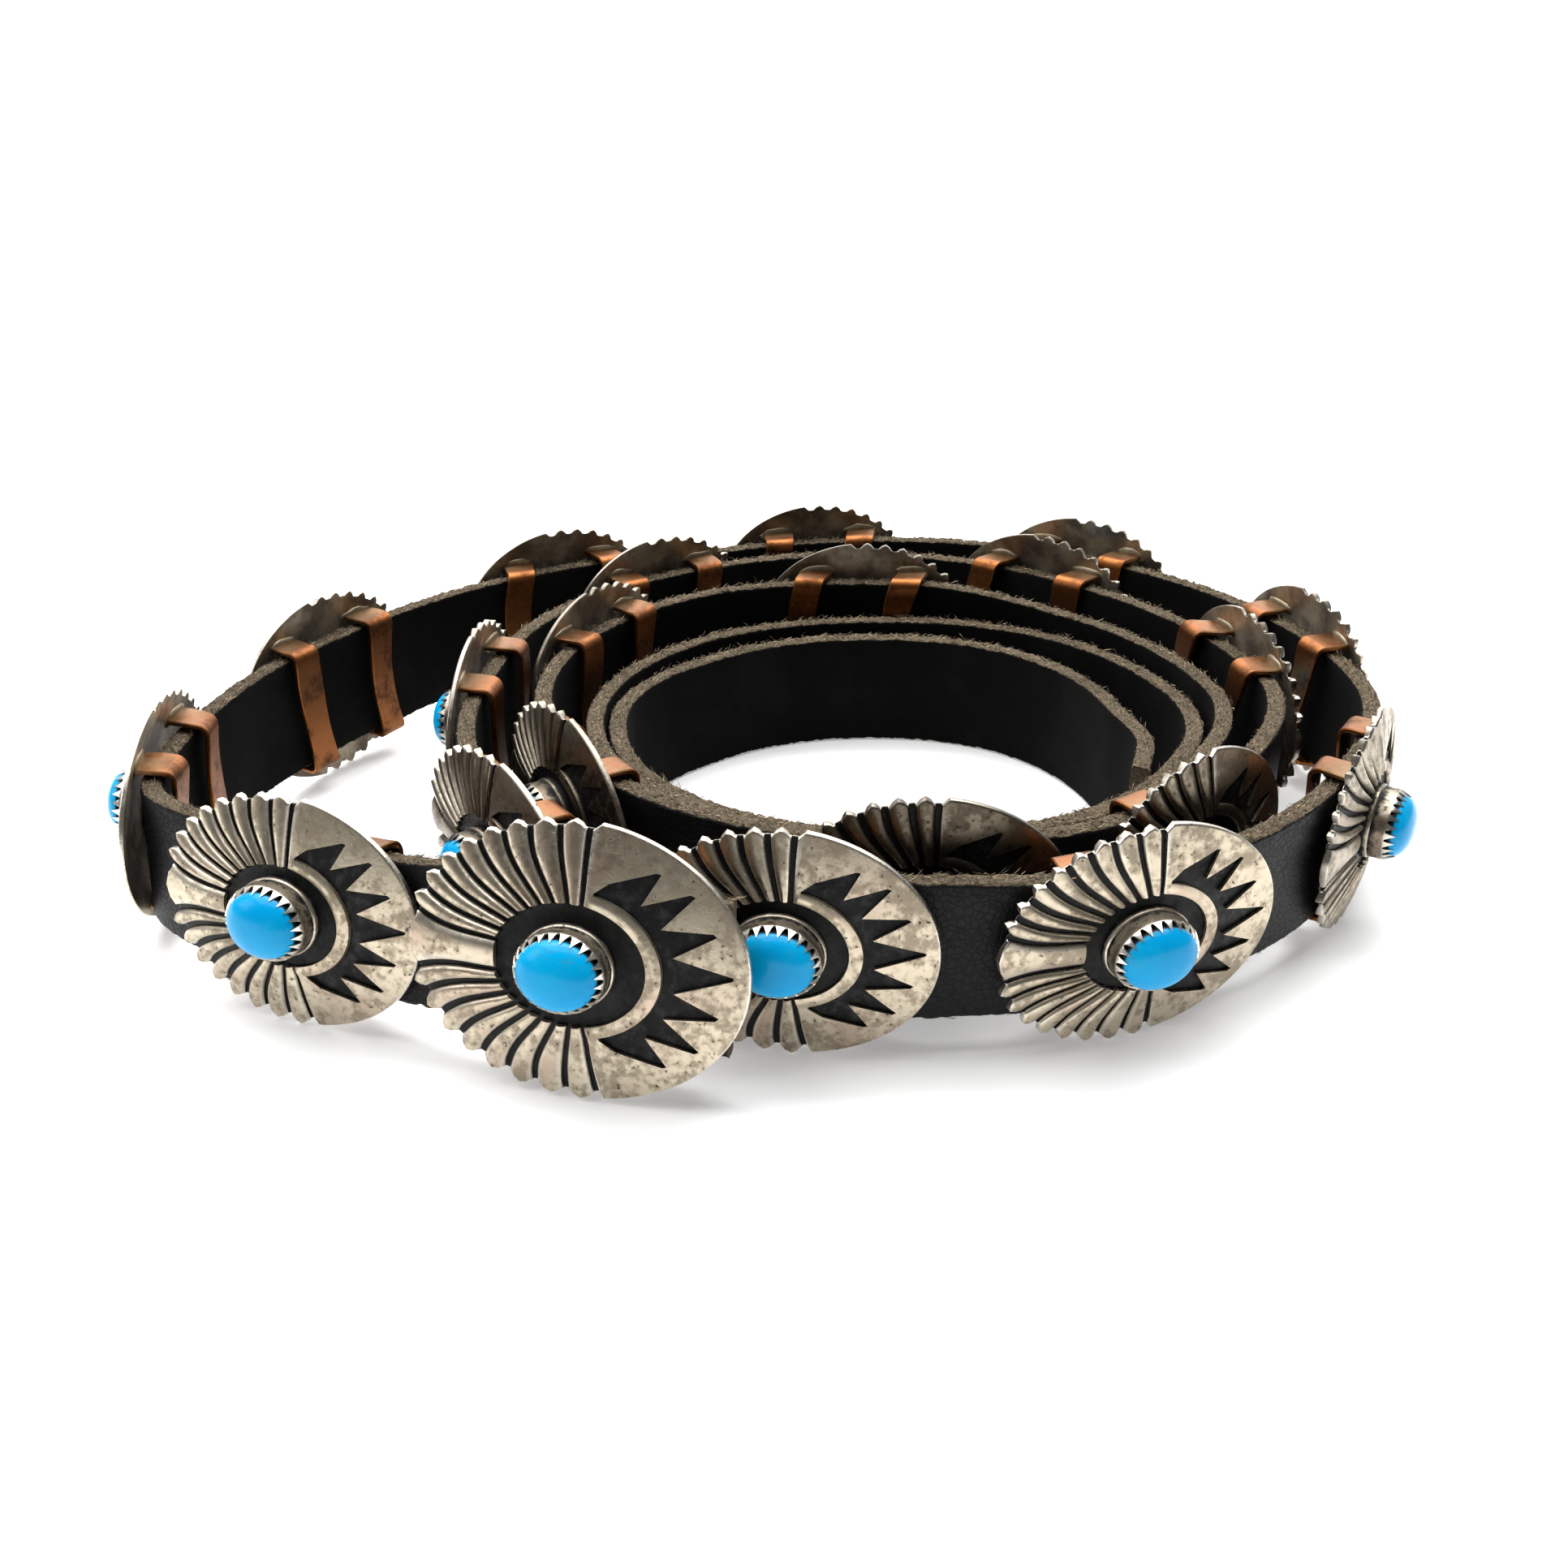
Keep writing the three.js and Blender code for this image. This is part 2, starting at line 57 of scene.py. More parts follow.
# Sizes of the solids, which every piece here keeps to
PLATE_HALF_LENGTH = 16 * MM
PLATE_HALF_HEIGHT = 12.75 * MM
PLATE_THICKNESS = 1.0 * MM
PLATE_RISE = 1.8 * MM
BUCKLE_SCALE = 1.12
BEZEL_HALF_LENGTH = 4.9 * MM
BEZEL_HALF_HEIGHT = 4.3 * MM
BEZEL_TOP = 5.6 * MM
STONE_TOP = 7.2 * MM
STONE_SEAT = 3.1 * MM            # from the rim's back edge to the flat base of the stone's solid
LOOP_WIDTH = 4.7 * MM
LOOP_THICKNESS = 0.8 * MM
LOOP_SPACING = 14 * MM
LOOP_BACK = 3.4 * MM
STRAP_WIDTH = 16 * MM
STRAP_THICKNESS = 2.4 * MM

NUMBERS = ["buckle"] + [f"{i:02d}" for i in range(1, 21)]


def concho_node(number):
    return "buckle_concho" if number == "buckle" else f"concho_{number}"


def stone_node(number):
    return "buckle_stone" if number == "buckle" else f"stone_{number}"


# Settings


def length(name, description, default):
    return FloatProperty(name=name, description=description, default=default, min=0.0,
                         precision=5, subtype="DISTANCE", unit="LENGTH")


def colour(name, description, default):
    return FloatVectorProperty(name=name, description=description, default=default, size=3,
                               min=0.0, max=1.0, subtype="COLOR")


class PlateSettings(bpy.types.PropertyGroup):
    """Sizes of a concho's stamped plate and of its bezel."""

    groove_depth: length("Groove depth", "How deep the fan's grooves are cut", 0.45 * MM)
    groove_at_rim: length("Groove width at rim", "Width of a groove at the rim", 0.8 * MM)
    groove_at_ring: length("Groove width at ring", "Width of a groove at the dark ring", 0.5 * MM)
    notch_depth: length("Notch depth", "How far a groove cuts into the rim's outline", 0.92 * MM)
    lobe_crown: length("Lobe crown", "How far a lobe's middle stands above its edges", 0.27 * MM)
    ring_depth: length("Ring depth", "Depth of the channel round the bezel", 0.55 * MM)
    cut_depth: length("Cut-out depth", "Depth of the rayed crescent", 0.45 * MM)
    rim_bevel: length("Rim bevel", "Rounding of the rim's outer edge", 0.22 * MM)
    teeth: IntProperty(name="Bezel teeth", description="Teeth round one bezel", default=24,
                       min=8, max=60)
    tooth_height: length("Tooth height", "Height of a bezel tooth", 1.15 * MM)


class StrapSettings(bpy.types.PropertyGroup):
    """The leather strap's edges and their loose fibres."""

    edge_roughness: length("Edge roughness", "How rough the cut edges are", 0.3 * MM)
    fibre_length: length("Fibre length", "Mean length of a loose fibre", 0.75 * MM)
    fibre_thickness: length("Fibre thickness", "Thickness of a loose fibre", 0.075 * MM)
    fibres_per_mm: FloatProperty(name="Fibres per mm", default=11.0, min=0.0, max=20.0,
                                 description="Loose fibres on each millimetre of the top edge")


class FinishSettings(bpy.types.PropertyGroup):
    """Colours of the belt's materials."""

    silver: colour("Silver", "Silver where it is rubbed clean", (0.53, 0.46, 0.35))
    tarnish: colour("Tarnish", "Brown tarnish on the silver", (0.235, 0.19, 0.135))
    blush: colour("Blush", "Pinkish stain on the silver", (0.40, 0.29, 0.225))
    # Brighter silver on rubbed edges and teeth: partly real wear, partly painted highlight
    bright: colour("Bright edge", "Silver on the edges and the bezel's teeth", (0.84, 0.81, 0.75))
    oxide: colour("Oxide", "Black in the grooves and the cut-out", (0.0045, 0.0045, 0.0045))
    copper: colour("Copper", "The loops", (0.215, 0.078, 0.024))
    # Paler colour on the loops' upper bends: partly a film, partly painted highlight
    patina_and_highlight: colour("Patina", "Grey-gold film on the loops' upper bends", (0.30, 0.20, 0.11))
    stone: colour("Turquoise", "The stones", (0.0, 0.325, 0.68))
    leather: colour("Leather", "Grain side of the strap", (0.0045, 0.0045, 0.0052))
    fibre: colour("Cut leather", "Cut edges and their fibres", (0.25, 0.195, 0.13))


class StageSettings(bpy.types.PropertyGroup):
    """The camera's place and pitch."""

    camera_height: length("Camera height", "Camera above the floor", 96.2 * MM)
    camera_distance: length("Camera distance", "Camera in front of the coil's middle", 188.76 * MM)
    camera_pitch: FloatProperty(name="Camera pitch", description="How far the camera looks down",
                                default=math.radians(25.98), subtype="ANGLE", unit="ROTATION")


# Shader maths


class Wire:
    """A value in a material. Sums written with it add Math nodes."""

    def __init__(self, paint, socket):
        self.paint = paint
        self.socket = socket

    def _math(self, operation, *values):
        return self.paint.node("ShaderNodeMath", {"operation": operation}, dict(enumerate(values)))

    def __add__(self, other):
        return self._math("ADD", self, other)

    def __radd__(self, other):
        return self._math("ADD", other, self)

    def __sub__(self, other):
        return self._math("SUBTRACT", self, other)

    def __rsub__(self, other):
        return self._math("SUBTRACT", other, self)

    def __mul__(self, other):
        return self._math("MULTIPLY", self, other)

    def __rmul__(self, other):
        return self._math("MULTIPLY", other, self)


class Paint:
    """One material and its nodes."""

    def __init__(self, name):
        self.material = bpy.data.materials.new(name)
        self.material.use_nodes = True
        self.tree = self.material.node_tree
        self.tree.nodes.clear()

    def node(self, kind, settings=None, sockets=None, out=0):
        """Adds a node, sets it, fills its sockets with values or wires, and returns one output."""
        made = self.tree.nodes.new(kind)
        for key, value in (settings or {}).items():
            setattr(made, key, value)
        for key, value in (sockets or {}).items():
            if isinstance(value, Wire):
                self.tree.links.new(value.socket, made.inputs[key])
            else:
                made.inputs[key].default_value = value
        return Wire(self, made.outputs[out])

    def place(self):
        return self.node("ShaderNodeNewGeometry", out="Position")

    def attribute(self, name):
        return self.node("ShaderNodeAttribute", {"attribute_name": name}, out="Fac")

    def noise(self, size, detail=3.0, roughness=0.55, stretch=(1, 1, 1)):
        """Noise with features of about this size, in metres."""
        place = self.place()
        if stretch != (1, 1, 1):
            place = self.node("ShaderNodeVectorMath", {"operation": "MULTIPLY"},
                              {0: place, 1: stretch})
        return self.node("ShaderNodeTexNoise", {"noise_dimensions": "3D"},
                         {"Vector": place, "Scale": 1 / size, "Detail": detail,
                          "Roughness": roughness})

    def smooth(self, value, low, high):
        """0 below low, 1 above high, smooth between."""
        return self.node("ShaderNodeMapRange", {"interpolation_type": "SMOOTHSTEP"},
                         {"Value": value, "From Min": low, "From Max": high})

    def mix(self, share, first, second):
        """Mix of two colours."""
        sides = [side if isinstance(side, Wire) else (*side, 1.0) for side in (first, second)]
        return self.node("ShaderNodeMix", {"data_type": "RGBA", "clamp_factor": True},
                         {0: share, 6: sides[0], 7: sides[1]}, out=2)

    def bump(self, height, distance, strength):
        return self.node("ShaderNodeBump", sockets={
            "Height": height, "Distance": distance, "Strength": strength})

    def shader(self, **sockets):
        """A shader with its sockets by name."""
        named = {key.replace("_", " "): value for key, value in sockets.items()}
        return self.node("ShaderNodeBsdfPrincipled", sockets=named)

    def finished(self, shader):
        """The material, with this shader on its surface."""
        made = self.tree.nodes.new("ShaderNodeOutputMaterial")
        self.tree.links.new(shader.socket, made.inputs["Surface"])
        return self.material

    def surface(self, **sockets):
        return self.finished(self.shader(**sockets))


def scaled(shade, share):
    return tuple(channel * share for channel in shade)


def silver_material(finish):
    """Rubbed silver with brown tarnish, pits and black oxide in every hollow; its edges and teeth
    brightened by wear and painted highlight, and painted shade on the inner conchos.
    """
    paint = Paint("tarnished_silver")
    broad = paint.noise(8 * MM, 4.0)
    patch = paint.noise(3.6 * MM, 5.0, 0.62)
    fine = paint.noise(0.9 * MM, 5.0, 0.65)
    specks = paint.noise(0.45 * MM, 2.0, 0.5)
    oxide = paint.attribute("oxide")
    # Mask of the rubbed edges and bezel teeth: partly real wear, partly painted highlight
    wear_and_highlight = paint.attribute("wear_and_highlight")
    # Painted shade on the conchos of the inner turns and a few on the right, where the coil shades
    # them
    dull = paint.attribute("dull")
    black = paint.smooth(oxide + (fine - 0.5) * 0.35, 0.42, 0.6)
    off_wear_and_highlight = 1 - wear_and_highlight
    stain = paint.smooth(patch + (fine - 0.5) * 0.45, 0.42, 0.64) * 0.8 * off_wear_and_highlight
    flush = paint.smooth(broad, 0.48, 0.66) * 0.65 * off_wear_and_highlight
    pits = paint.smooth(specks, 0.67, 0.71) * paint.smooth(patch, 0.42, 0.54) * off_wear_and_highlight
    body = paint.mix(flush, finish.silver, finish.blush)
    body = paint.mix(stain, body, finish.tarnish)
    body = paint.mix(paint.smooth(fine, 0.4, 0.75) * 0.3 * off_wear_and_highlight, body, scaled(finish.silver, 0.6))
    # Wear and painted highlight: the rubbed edges and teeth are made brighter silver
    body = paint.mix(wear_and_highlight, body, finish.bright)
    # Painted shade: the shaded conchos are darkened towards a dark tarnish colour
    body = paint.mix(dull, body, scaled(finish.tarnish, 0.4))
    body = paint.mix(pits * 0.85, body, (0.05, 0.038, 0.028))
    smudge = paint.smooth(paint.noise(1.3 * MM, 4.0, 0.6), 0.45, 0.7)
    thin = 1 - paint.smooth(oxide, 0.82, 0.95) * 0.75
    coating = paint.mix(smudge * thin, finish.oxide, scaled(finish.oxide, 6.0))
    body = paint.mix(black, body, coating)
    rough = 0.34 + (fine - 0.5) * 0.3 + stain * 0.16 - wear_and_highlight * 0.08 + black * 0.12
    height = fine * 0.35 + paint.noise(0.25 * MM, 2.0) * 0.25 - pits * 0.6 + patch * 0.5
    return paint.surface(Base_Color=body, Metallic=1 - black, Roughness=rough,
                         Specular_IOR_Level=0.16, Normal=paint.bump(height, 0.06 * MM, 0.7))


def back_material():
    """The plates' dark, unpolished back."""
    paint = Paint("blackened_back")
    broad = paint.noise(5 * MM, 4.0)
    fine = paint.noise(0.7 * MM, 5.0, 0.65)
    body = paint.mix(paint.smooth(broad, 0.35, 0.7), (0.16, 0.13, 0.10), (0.52, 0.44, 0.33))
    body = paint.mix(paint.smooth(fine, 0.55, 0.75) * 0.5, body, (0.03, 0.026, 0.022))
    return paint.surface(Base_Color=body, Metallic=0.8, Roughness=0.5 + (fine - 0.5) * 0.3,
                         Normal=paint.bump(fine + broad, 0.05 * MM, 0.6))


def copper_material(finish):
    """Copper strip, darkened unevenly, with a paler film and painted highlight on its upper bends.
    """
    paint = Paint("copper_strip")
    broad = paint.noise(4 * MM, 4.0)
    fine = paint.noise(0.6 * MM, 4.0, 0.6)
    dark = paint.smooth(broad + (fine - 0.5) * 0.4, 0.42, 0.72)
    body = paint.mix(dark, finish.copper, scaled(finish.copper, 0.35))
    # Paler upper bends: partly a film, partly painted highlight where they face the top light
    film_and_highlight_share = paint.attribute("film_and_highlight") * paint.smooth(broad + (fine - 0.5) * 0.6, 0.3, 0.6)
    body = paint.mix(film_and_highlight_share, body, finish.patina_and_highlight)
    return paint.surface(Base_Color=body, Metallic=1.0, Roughness=0.4 + dark * 0.14,
                         Normal=paint.bump(fine + broad, 0.04 * MM, 0.5))


def solder_material():
    """Solder, tarnished and lumpy."""
    paint = Paint("solder")
    fine = paint.noise(0.8 * MM, 4.0, 0.6)
    body = paint.mix(fine, (0.15, 0.12, 0.085), (0.42, 0.35, 0.235))
    return paint.surface(Base_Color=body, Metallic=0.9, Roughness=0.42 + (fine - 0.5) * 0.2,
                         Normal=paint.bump(fine, 0.08 * MM, 0.7))


def stone_material(finish):
    """Polished turquoise with a few brown veins near some edges, and painted shade round its foot
    under the bezel's teeth.
    """
    paint = Paint("polished_turquoise")
    broad = paint.noise(5 * MM, 3.0)
    cloud = paint.noise(1.4 * MM, 4.0, 0.6)
    vein = paint.noise(2.2 * MM, 4.0, 0.7, (1, 1, 2.2))
    body = paint.mix(paint.smooth(broad, 0.35, 0.7), finish.stone, (0.0, 0.375, 0.72))
    body = paint.mix(paint.smooth(cloud, 0.5, 0.85) * 0.2, body, (0.04, 0.52, 0.80))
    near_edge = paint.attribute("edge")
    line = paint.smooth(vein, 0.495, 0.5) * (1 - paint.smooth(vein, 0.505, 0.515))
    matrix = line * paint.smooth(broad, 0.5, 0.62) * near_edge
    body = paint.mix(matrix * 0.75, body, (0.10, 0.09, 0.05))
    # Painted shade: near-black round the foot of the stone, under the bezel's leaning teeth
    body = paint.mix(paint.attribute("girdle_shade"), body, (0.008, 0.010, 0.010))
    return paint.surface(Base_Color=body, Roughness=0.16 + cloud * 0.1, Coat_Weight=0.05,
                         Coat_Roughness=0.08, IOR=1.5, Specular_IOR_Level=0.15,
                         Normal=paint.bump(cloud, 0.01 * MM, 0.4))


def leather_material(finish):
    """Black grain outside, black suede inside, and raw grey-brown where the strap was cut."""
    paint = Paint("black_leather")
    cut = paint.attribute("cut")
    suede = paint.attribute("suede")
    grain = paint.node("ShaderNodeTexVoronoi", {"feature": "DISTANCE_TO_EDGE"},
                       {"Vector": paint.place(), "Scale": 1 / (0.75 * MM)})
    creases = paint.smooth(grain, 0.0, 0.16)
    fine = paint.noise(0.35 * MM, 3.0, 0.6)
    broad = paint.noise(12 * MM, 3.0)
    raw = paint.smooth(cut + (paint.noise(0.9 * MM, 4.0, 0.65) - 0.5) * 0.7, 0.38, 0.62)
    streak = paint.noise(0.32 * MM, 4.0, 0.7, (1, 1, 2))
    # Painted shade: the grain's creases are darker than its tops
    skin = paint.mix(creases, scaled(finish.leather, 0.45), finish.leather)
    skin = paint.mix(paint.smooth(broad, 0.5, 0.8) * 0.4, skin, scaled(finish.leather, 1.9))
    nap = paint.mix(fine, (0.0008, 0.0008, 0.0008), (0.0032, 0.0029, 0.0027))
    nap = paint.mix(paint.smooth(broad, 0.45, 0.7) * 0.6, nap, (0.0065, 0.0060, 0.0056))
    edge = paint.mix(paint.smooth(streak, 0.36, 0.68), scaled(finish.fibre, 0.18),
                     scaled(finish.fibre, 0.7))
    edge = paint.mix(paint.smooth(broad, 0.45, 0.7) * 0.5, edge, scaled(finish.fibre, 0.25))
    smooth_side = paint.shader(
        Base_Color=skin, Roughness=0.44 + (1 - creases) * 0.12, Specular_IOR_Level=0.16,
        Normal=paint.bump(creases * 0.7 + fine * 0.3, 0.06 * MM, 0.7))
    rough_side = paint.shader(
        Base_Color=paint.mix(raw, nap, edge), Roughness=0.9, Specular_IOR_Level=0.08,
        Normal=paint.bump(fine * 0.4 + streak * raw, 0.12 * MM, 0.9))
    share = paint.node("ShaderNodeClamp", sockets={"Value": suede + raw})
    return paint.finished(paint.node("ShaderNodeMixShader", sockets={
        0: share, 1: smooth_side, 2: rough_side}))


def fibre_material(finish):
    """Loose fibres from black to straw."""
    paint = Paint("leather_fibre")
    shade = paint.attribute("shade")
    body = paint.mix(paint.smooth(shade, 0.0, 0.7), scaled(finish.fibre, 0.18), finish.fibre)
    body = paint.mix(paint.smooth(shade, 0.7, 1.0), body, scaled(finish.fibre, 2.6))
    return paint.surface(Base_Color=body, Roughness=0.8, Specular_IOR_Level=0.2)


# Meshes


def seated_copy(name, mesh, number, **levels):
    """An object whose own mesh is the given one, put where that concho sits. Each level is an
    attribute with one value all over the mesh."""
    own = mesh.copy()
    own.name = name
    own.transform(seat_of(number))
    for key, level in levels.items():
        layer = own.attributes.new(key, "FLOAT", "POINT")
        layer.data.foreach_set("value", [level] * len(own.vertices))
    piece = bpy.data.objects.new(name, own)
    bpy.context.scene.collection.objects.link(piece)
    return piece


def make_mesh(name, points, faces, materials, indices=None, attributes=None, crease=None):
    """A mesh from points and faces, shaded smooth except across sharp edges."""
    mesh = bpy.data.meshes.new(name)
    mesh.from_pydata([tuple(map(float, p)) for p in points], [], faces)
    for material in materials:
        mesh.materials.append(material)
    if indices is not None:
        mesh.polygons.foreach_set("material_index", indices)
    mesh.polygons.foreach_set("use_smooth", [True] * len(mesh.polygons))
    for key, values in (attributes or {}).items():
        layer = mesh.attributes.new(key, "FLOAT", "POINT")
        layer.data.foreach_set("value", np.asarray(values, np.float32))
    if crease is not None:
        mesh.set_sharp_from_angle(angle=crease)
    if mesh.validate():
        raise RuntimeError(f"the mesh of {name} had faulty faces")
    return mesh


def make_piece(name, *shape, **looks):
    """An object with a new mesh."""
    piece = bpy.data.objects.new(name, make_mesh(name, *shape, **looks))
    bpy.context.scene.collection.objects.link(piece)
    return piece


def grid_faces(columns, rows, start=0):
    """Quads of a grid of points stored row by row, closed around."""
    return [(start + r * columns + c, start + r * columns + (c + 1) % columns,
             start + (r + 1) * columns + (c + 1) % columns, start + (r + 1) * columns + c)
            for r in range(rows - 1) for c in range(columns)]


def end_faces(columns, rows, start=0):
    """The two ends of such a grid, each as one face."""
    last = start + (rows - 1) * columns
    return [tuple(range(start + columns - 1, start - 1, -1)), tuple(range(last, last + columns))]


def tip_faces(columns, first, tip, flip=False):
    """Triangles from a row of such a grid to one point."""
    pairs = [(first + c, first + (c + 1) % columns) for c in range(columns)]
    return [(b, a, tip) if flip else (a, b, tip) for a, b in pairs]


def welded(mesh):
    """A mesh's points without doubles, and its edges and faces on them."""
    found, places, new = {}, [], []
    for vertex in mesh.vertices:
        key = tuple(round(c, 7) for c in vertex.co)
        if key not in found:
            found[key] = len(places)
            places.append(np.array(vertex.co, float))
        new.append(found[key])
    edges = {tuple(sorted((new[e.vertices[0]], new[e.vertices[1]]))) for e in mesh.edges}
    faces = [[new[v] for v in face.vertices] for face in mesh.polygons]
    return np.array(places), [e for e in edges if e[0] != e[1]], faces


def seat_of(number):
    """Matrix of a concho's own axes: right, up and out as seen from outside, from the middle of
    the plane of its rim. The flat base of its stone gives them."""
    places, _, faces = welded(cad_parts[stone_node(number)].data)
    rows = []
    for face in faces:
        corners = places[face]
        across = np.cross(corners[1] - corners[0], corners[2] - corners[0])
        area = np.linalg.norm(across)
        rows.append((across / max(area, 1e-20), area))
    normals = np.array([row[0] for row in rows])
    areas = np.array([row[1] for row in rows])
    alike = normals @ normals.T > 0.9999
    base = alike[(alike @ areas).argmax()]
    ring = places[sorted({i for face, is_base in zip(faces, base) if is_base for i in face})]
    centre = ring.mean(0)
    spread = (ring - centre).T @ (ring - centre)
    _, axes = np.linalg.eigh(spread)
    out, up = axes[:, 0], axes[:, 1]
    out = out * np.sign((places.mean(0) - centre) @ out)
    up = up * np.sign(up[2])
    right = np.cross(up, out)
    origin = centre - out * STONE_SEAT
    return Matrix([[right[i], up[i], out[i], origin[i]] for i in range(3)] + [[0, 0, 0, 1]])


# Plate

RING = 0.435                     # outer edge of the dark ring, as a share of the plate
FOOT = 0.15 * MM                 # how far the bezel's foot stands out from its wall
BACK_SHIFT = 0.35 * MM           # the sheet's back, in front of the back of its thicker solid
GROOVES_A_SIDE = 9
# Bearing at the rim and at the ring of the first and last groove of a side, from the right
UPPER_GROOVES = ((85.5, 81.0), (166.0, 165.5))
LOWER_GROOVES = ((80.5, 77.5), (166.5, 165.5))
GROOVE_BOW = 3.5
CRESCENT = 0.53                  # inner edge of the cut-out
PLAIN_BREAK = 0.60               # where the rows change their spacing, away from the cut-out
WALL = 0.0035                    # half the width of a step's wall, as a share of the plate
GROOVE_LIP = 0.06 * MM           # how far the outermost grooves' outer edges are pressed down
LOBE_LIP = 0.07 * MM
BAND_CROWN = 0.12 * MM           # how far the crescent band's middle stands above its edges
BLEND_FROM = 76.5                # the plain half's ends, in degrees from the right
PLAIN_COLUMNS = 57
CLOSEST_COLUMNS = 0.35           # degrees
# Corners of the cut-out's upper half as a bearing from its middle and a share of the plate
CUT_TURN = 3.0                   # the cut-out's middle, in degrees up from the plate's right end
CUT_END = (73.0, 0.545)
CUT_SHOULDER = (67.5, 0.645)
CUT_TIPS = [(53.0, 0.86), (38.2, 0.895), (19.8, 0.875), (0.0, 0.915)]
CUT_VALLEYS = [(47.8, 0.625), (30.7, 0.615), (12.0, 0.605)]
TIP_HALF_WIDTH = 0.9             # a ray's blunt tip, in degrees
TIP_SLANT = 0.012
RIM_SPREAD = 1.7                 # width of the rim's rounding for its depth


def cut_corners():
    """Corners of the cut-out's upper half, from its end to its middle."""
    corners = [CUT_END, CUT_SHOULDER]
    for i, (bearing, share) in enumerate(CUT_TIPS):
        corners.append((bearing + TIP_HALF_WIDTH, share - TIP_SLANT))
        corners.append((max(bearing - TIP_HALF_WIDTH, 0.0), share))
        corners += CUT_VALLEYS[i:i + 1]
    return corners


CUT_CORNERS = cut_corners()


def dome(right, up, scale):
    """Height of the back of a plate's solid above the plane of its rim."""
    share = (right / (PLATE_HALF_LENGTH * scale)) ** 2 + (up / (PLATE_HALF_HEIGHT * scale)) ** 2
    return PLATE_RISE * (1 - share)


def polar(share, bearing, half_length, half_height):
    angle = np.radians(bearing)
    return np.stack([half_length * share * np.cos(angle), half_height * share * np.sin(angle)], -1)


def groove_bearings():
    """Bearing at the rim, at the ring and the bow of each groove, anticlockwise from the top."""
    sides = []
    for first, last in (UPPER_GROOVES, LOWER_GROOVES):
        side = []
        for k in range(GROOVES_A_SIDE):
            share = k / (GROOVES_A_SIDE - 1)
            rim, ring = (start + (end - start) * share for start, end in zip(first, last))
            side.append((rim, ring, GROOVE_BOW * min(1.0, k / 2) if k else 1.0))
        sides.append(side)
    upper, lower = sides
    return upper + [(360 - rim, 360 - ring, -bow) for rim, ring, bow in reversed(lower)]


def plain_bearings():
    """Bearings of the plain half's columns, evenly apart and at every corner of the cut-out."""
    just_inside = CUT_END[0] - 0.4
    bearings = set(np.linspace(-BLEND_FROM, BLEND_FROM, PLAIN_COLUMNS).round(4))
    for away in [corner[0] for corner in CUT_CORNERS] + [just_inside]:
        bearings |= {CUT_TURN + away, CUT_TURN - away}
    kept = []
    for bearing in sorted(bearings):
        fixed = any(abs(abs(bearing - CUT_TURN) - corner[0]) < 1e-6 for corner in CUT_CORNERS)
        if kept and bearing - kept[-1][0] < CLOSEST_COLUMNS:
            if not fixed:
                continue
            if not kept[-1][1]:
                kept.pop()
        kept.append((bearing, fixed))
    return [bearing for bearing, _ in kept]


def cut_outline(bearing):
    """Outer edge of the cut-out at a bearing, as a share of the plate, and if it is cut there."""
    away = abs(bearing - CUT_TURN)
    if away >= CUT_END[0]:
        return min(PLAIN_BREAK, CUT_END[1] + (away - CUT_END[0]) * 0.012), False
    for (high, near), (low, far) in zip(CUT_CORNERS, CUT_CORNERS[1:]):
        if low <= away <= high:
            first, last = polar(near, high, 1, 1), polar(far, low, 1, 1)
            ray = polar(1, away, 1, 1)
            side = last - first
            reach = first[0] * side[1] - first[1] * side[0]
            return reach / (ray[0] * side[1] - ray[1] * side[0]), True
    raise RuntimeError(f"no outline of the cut-out at {bearing}")


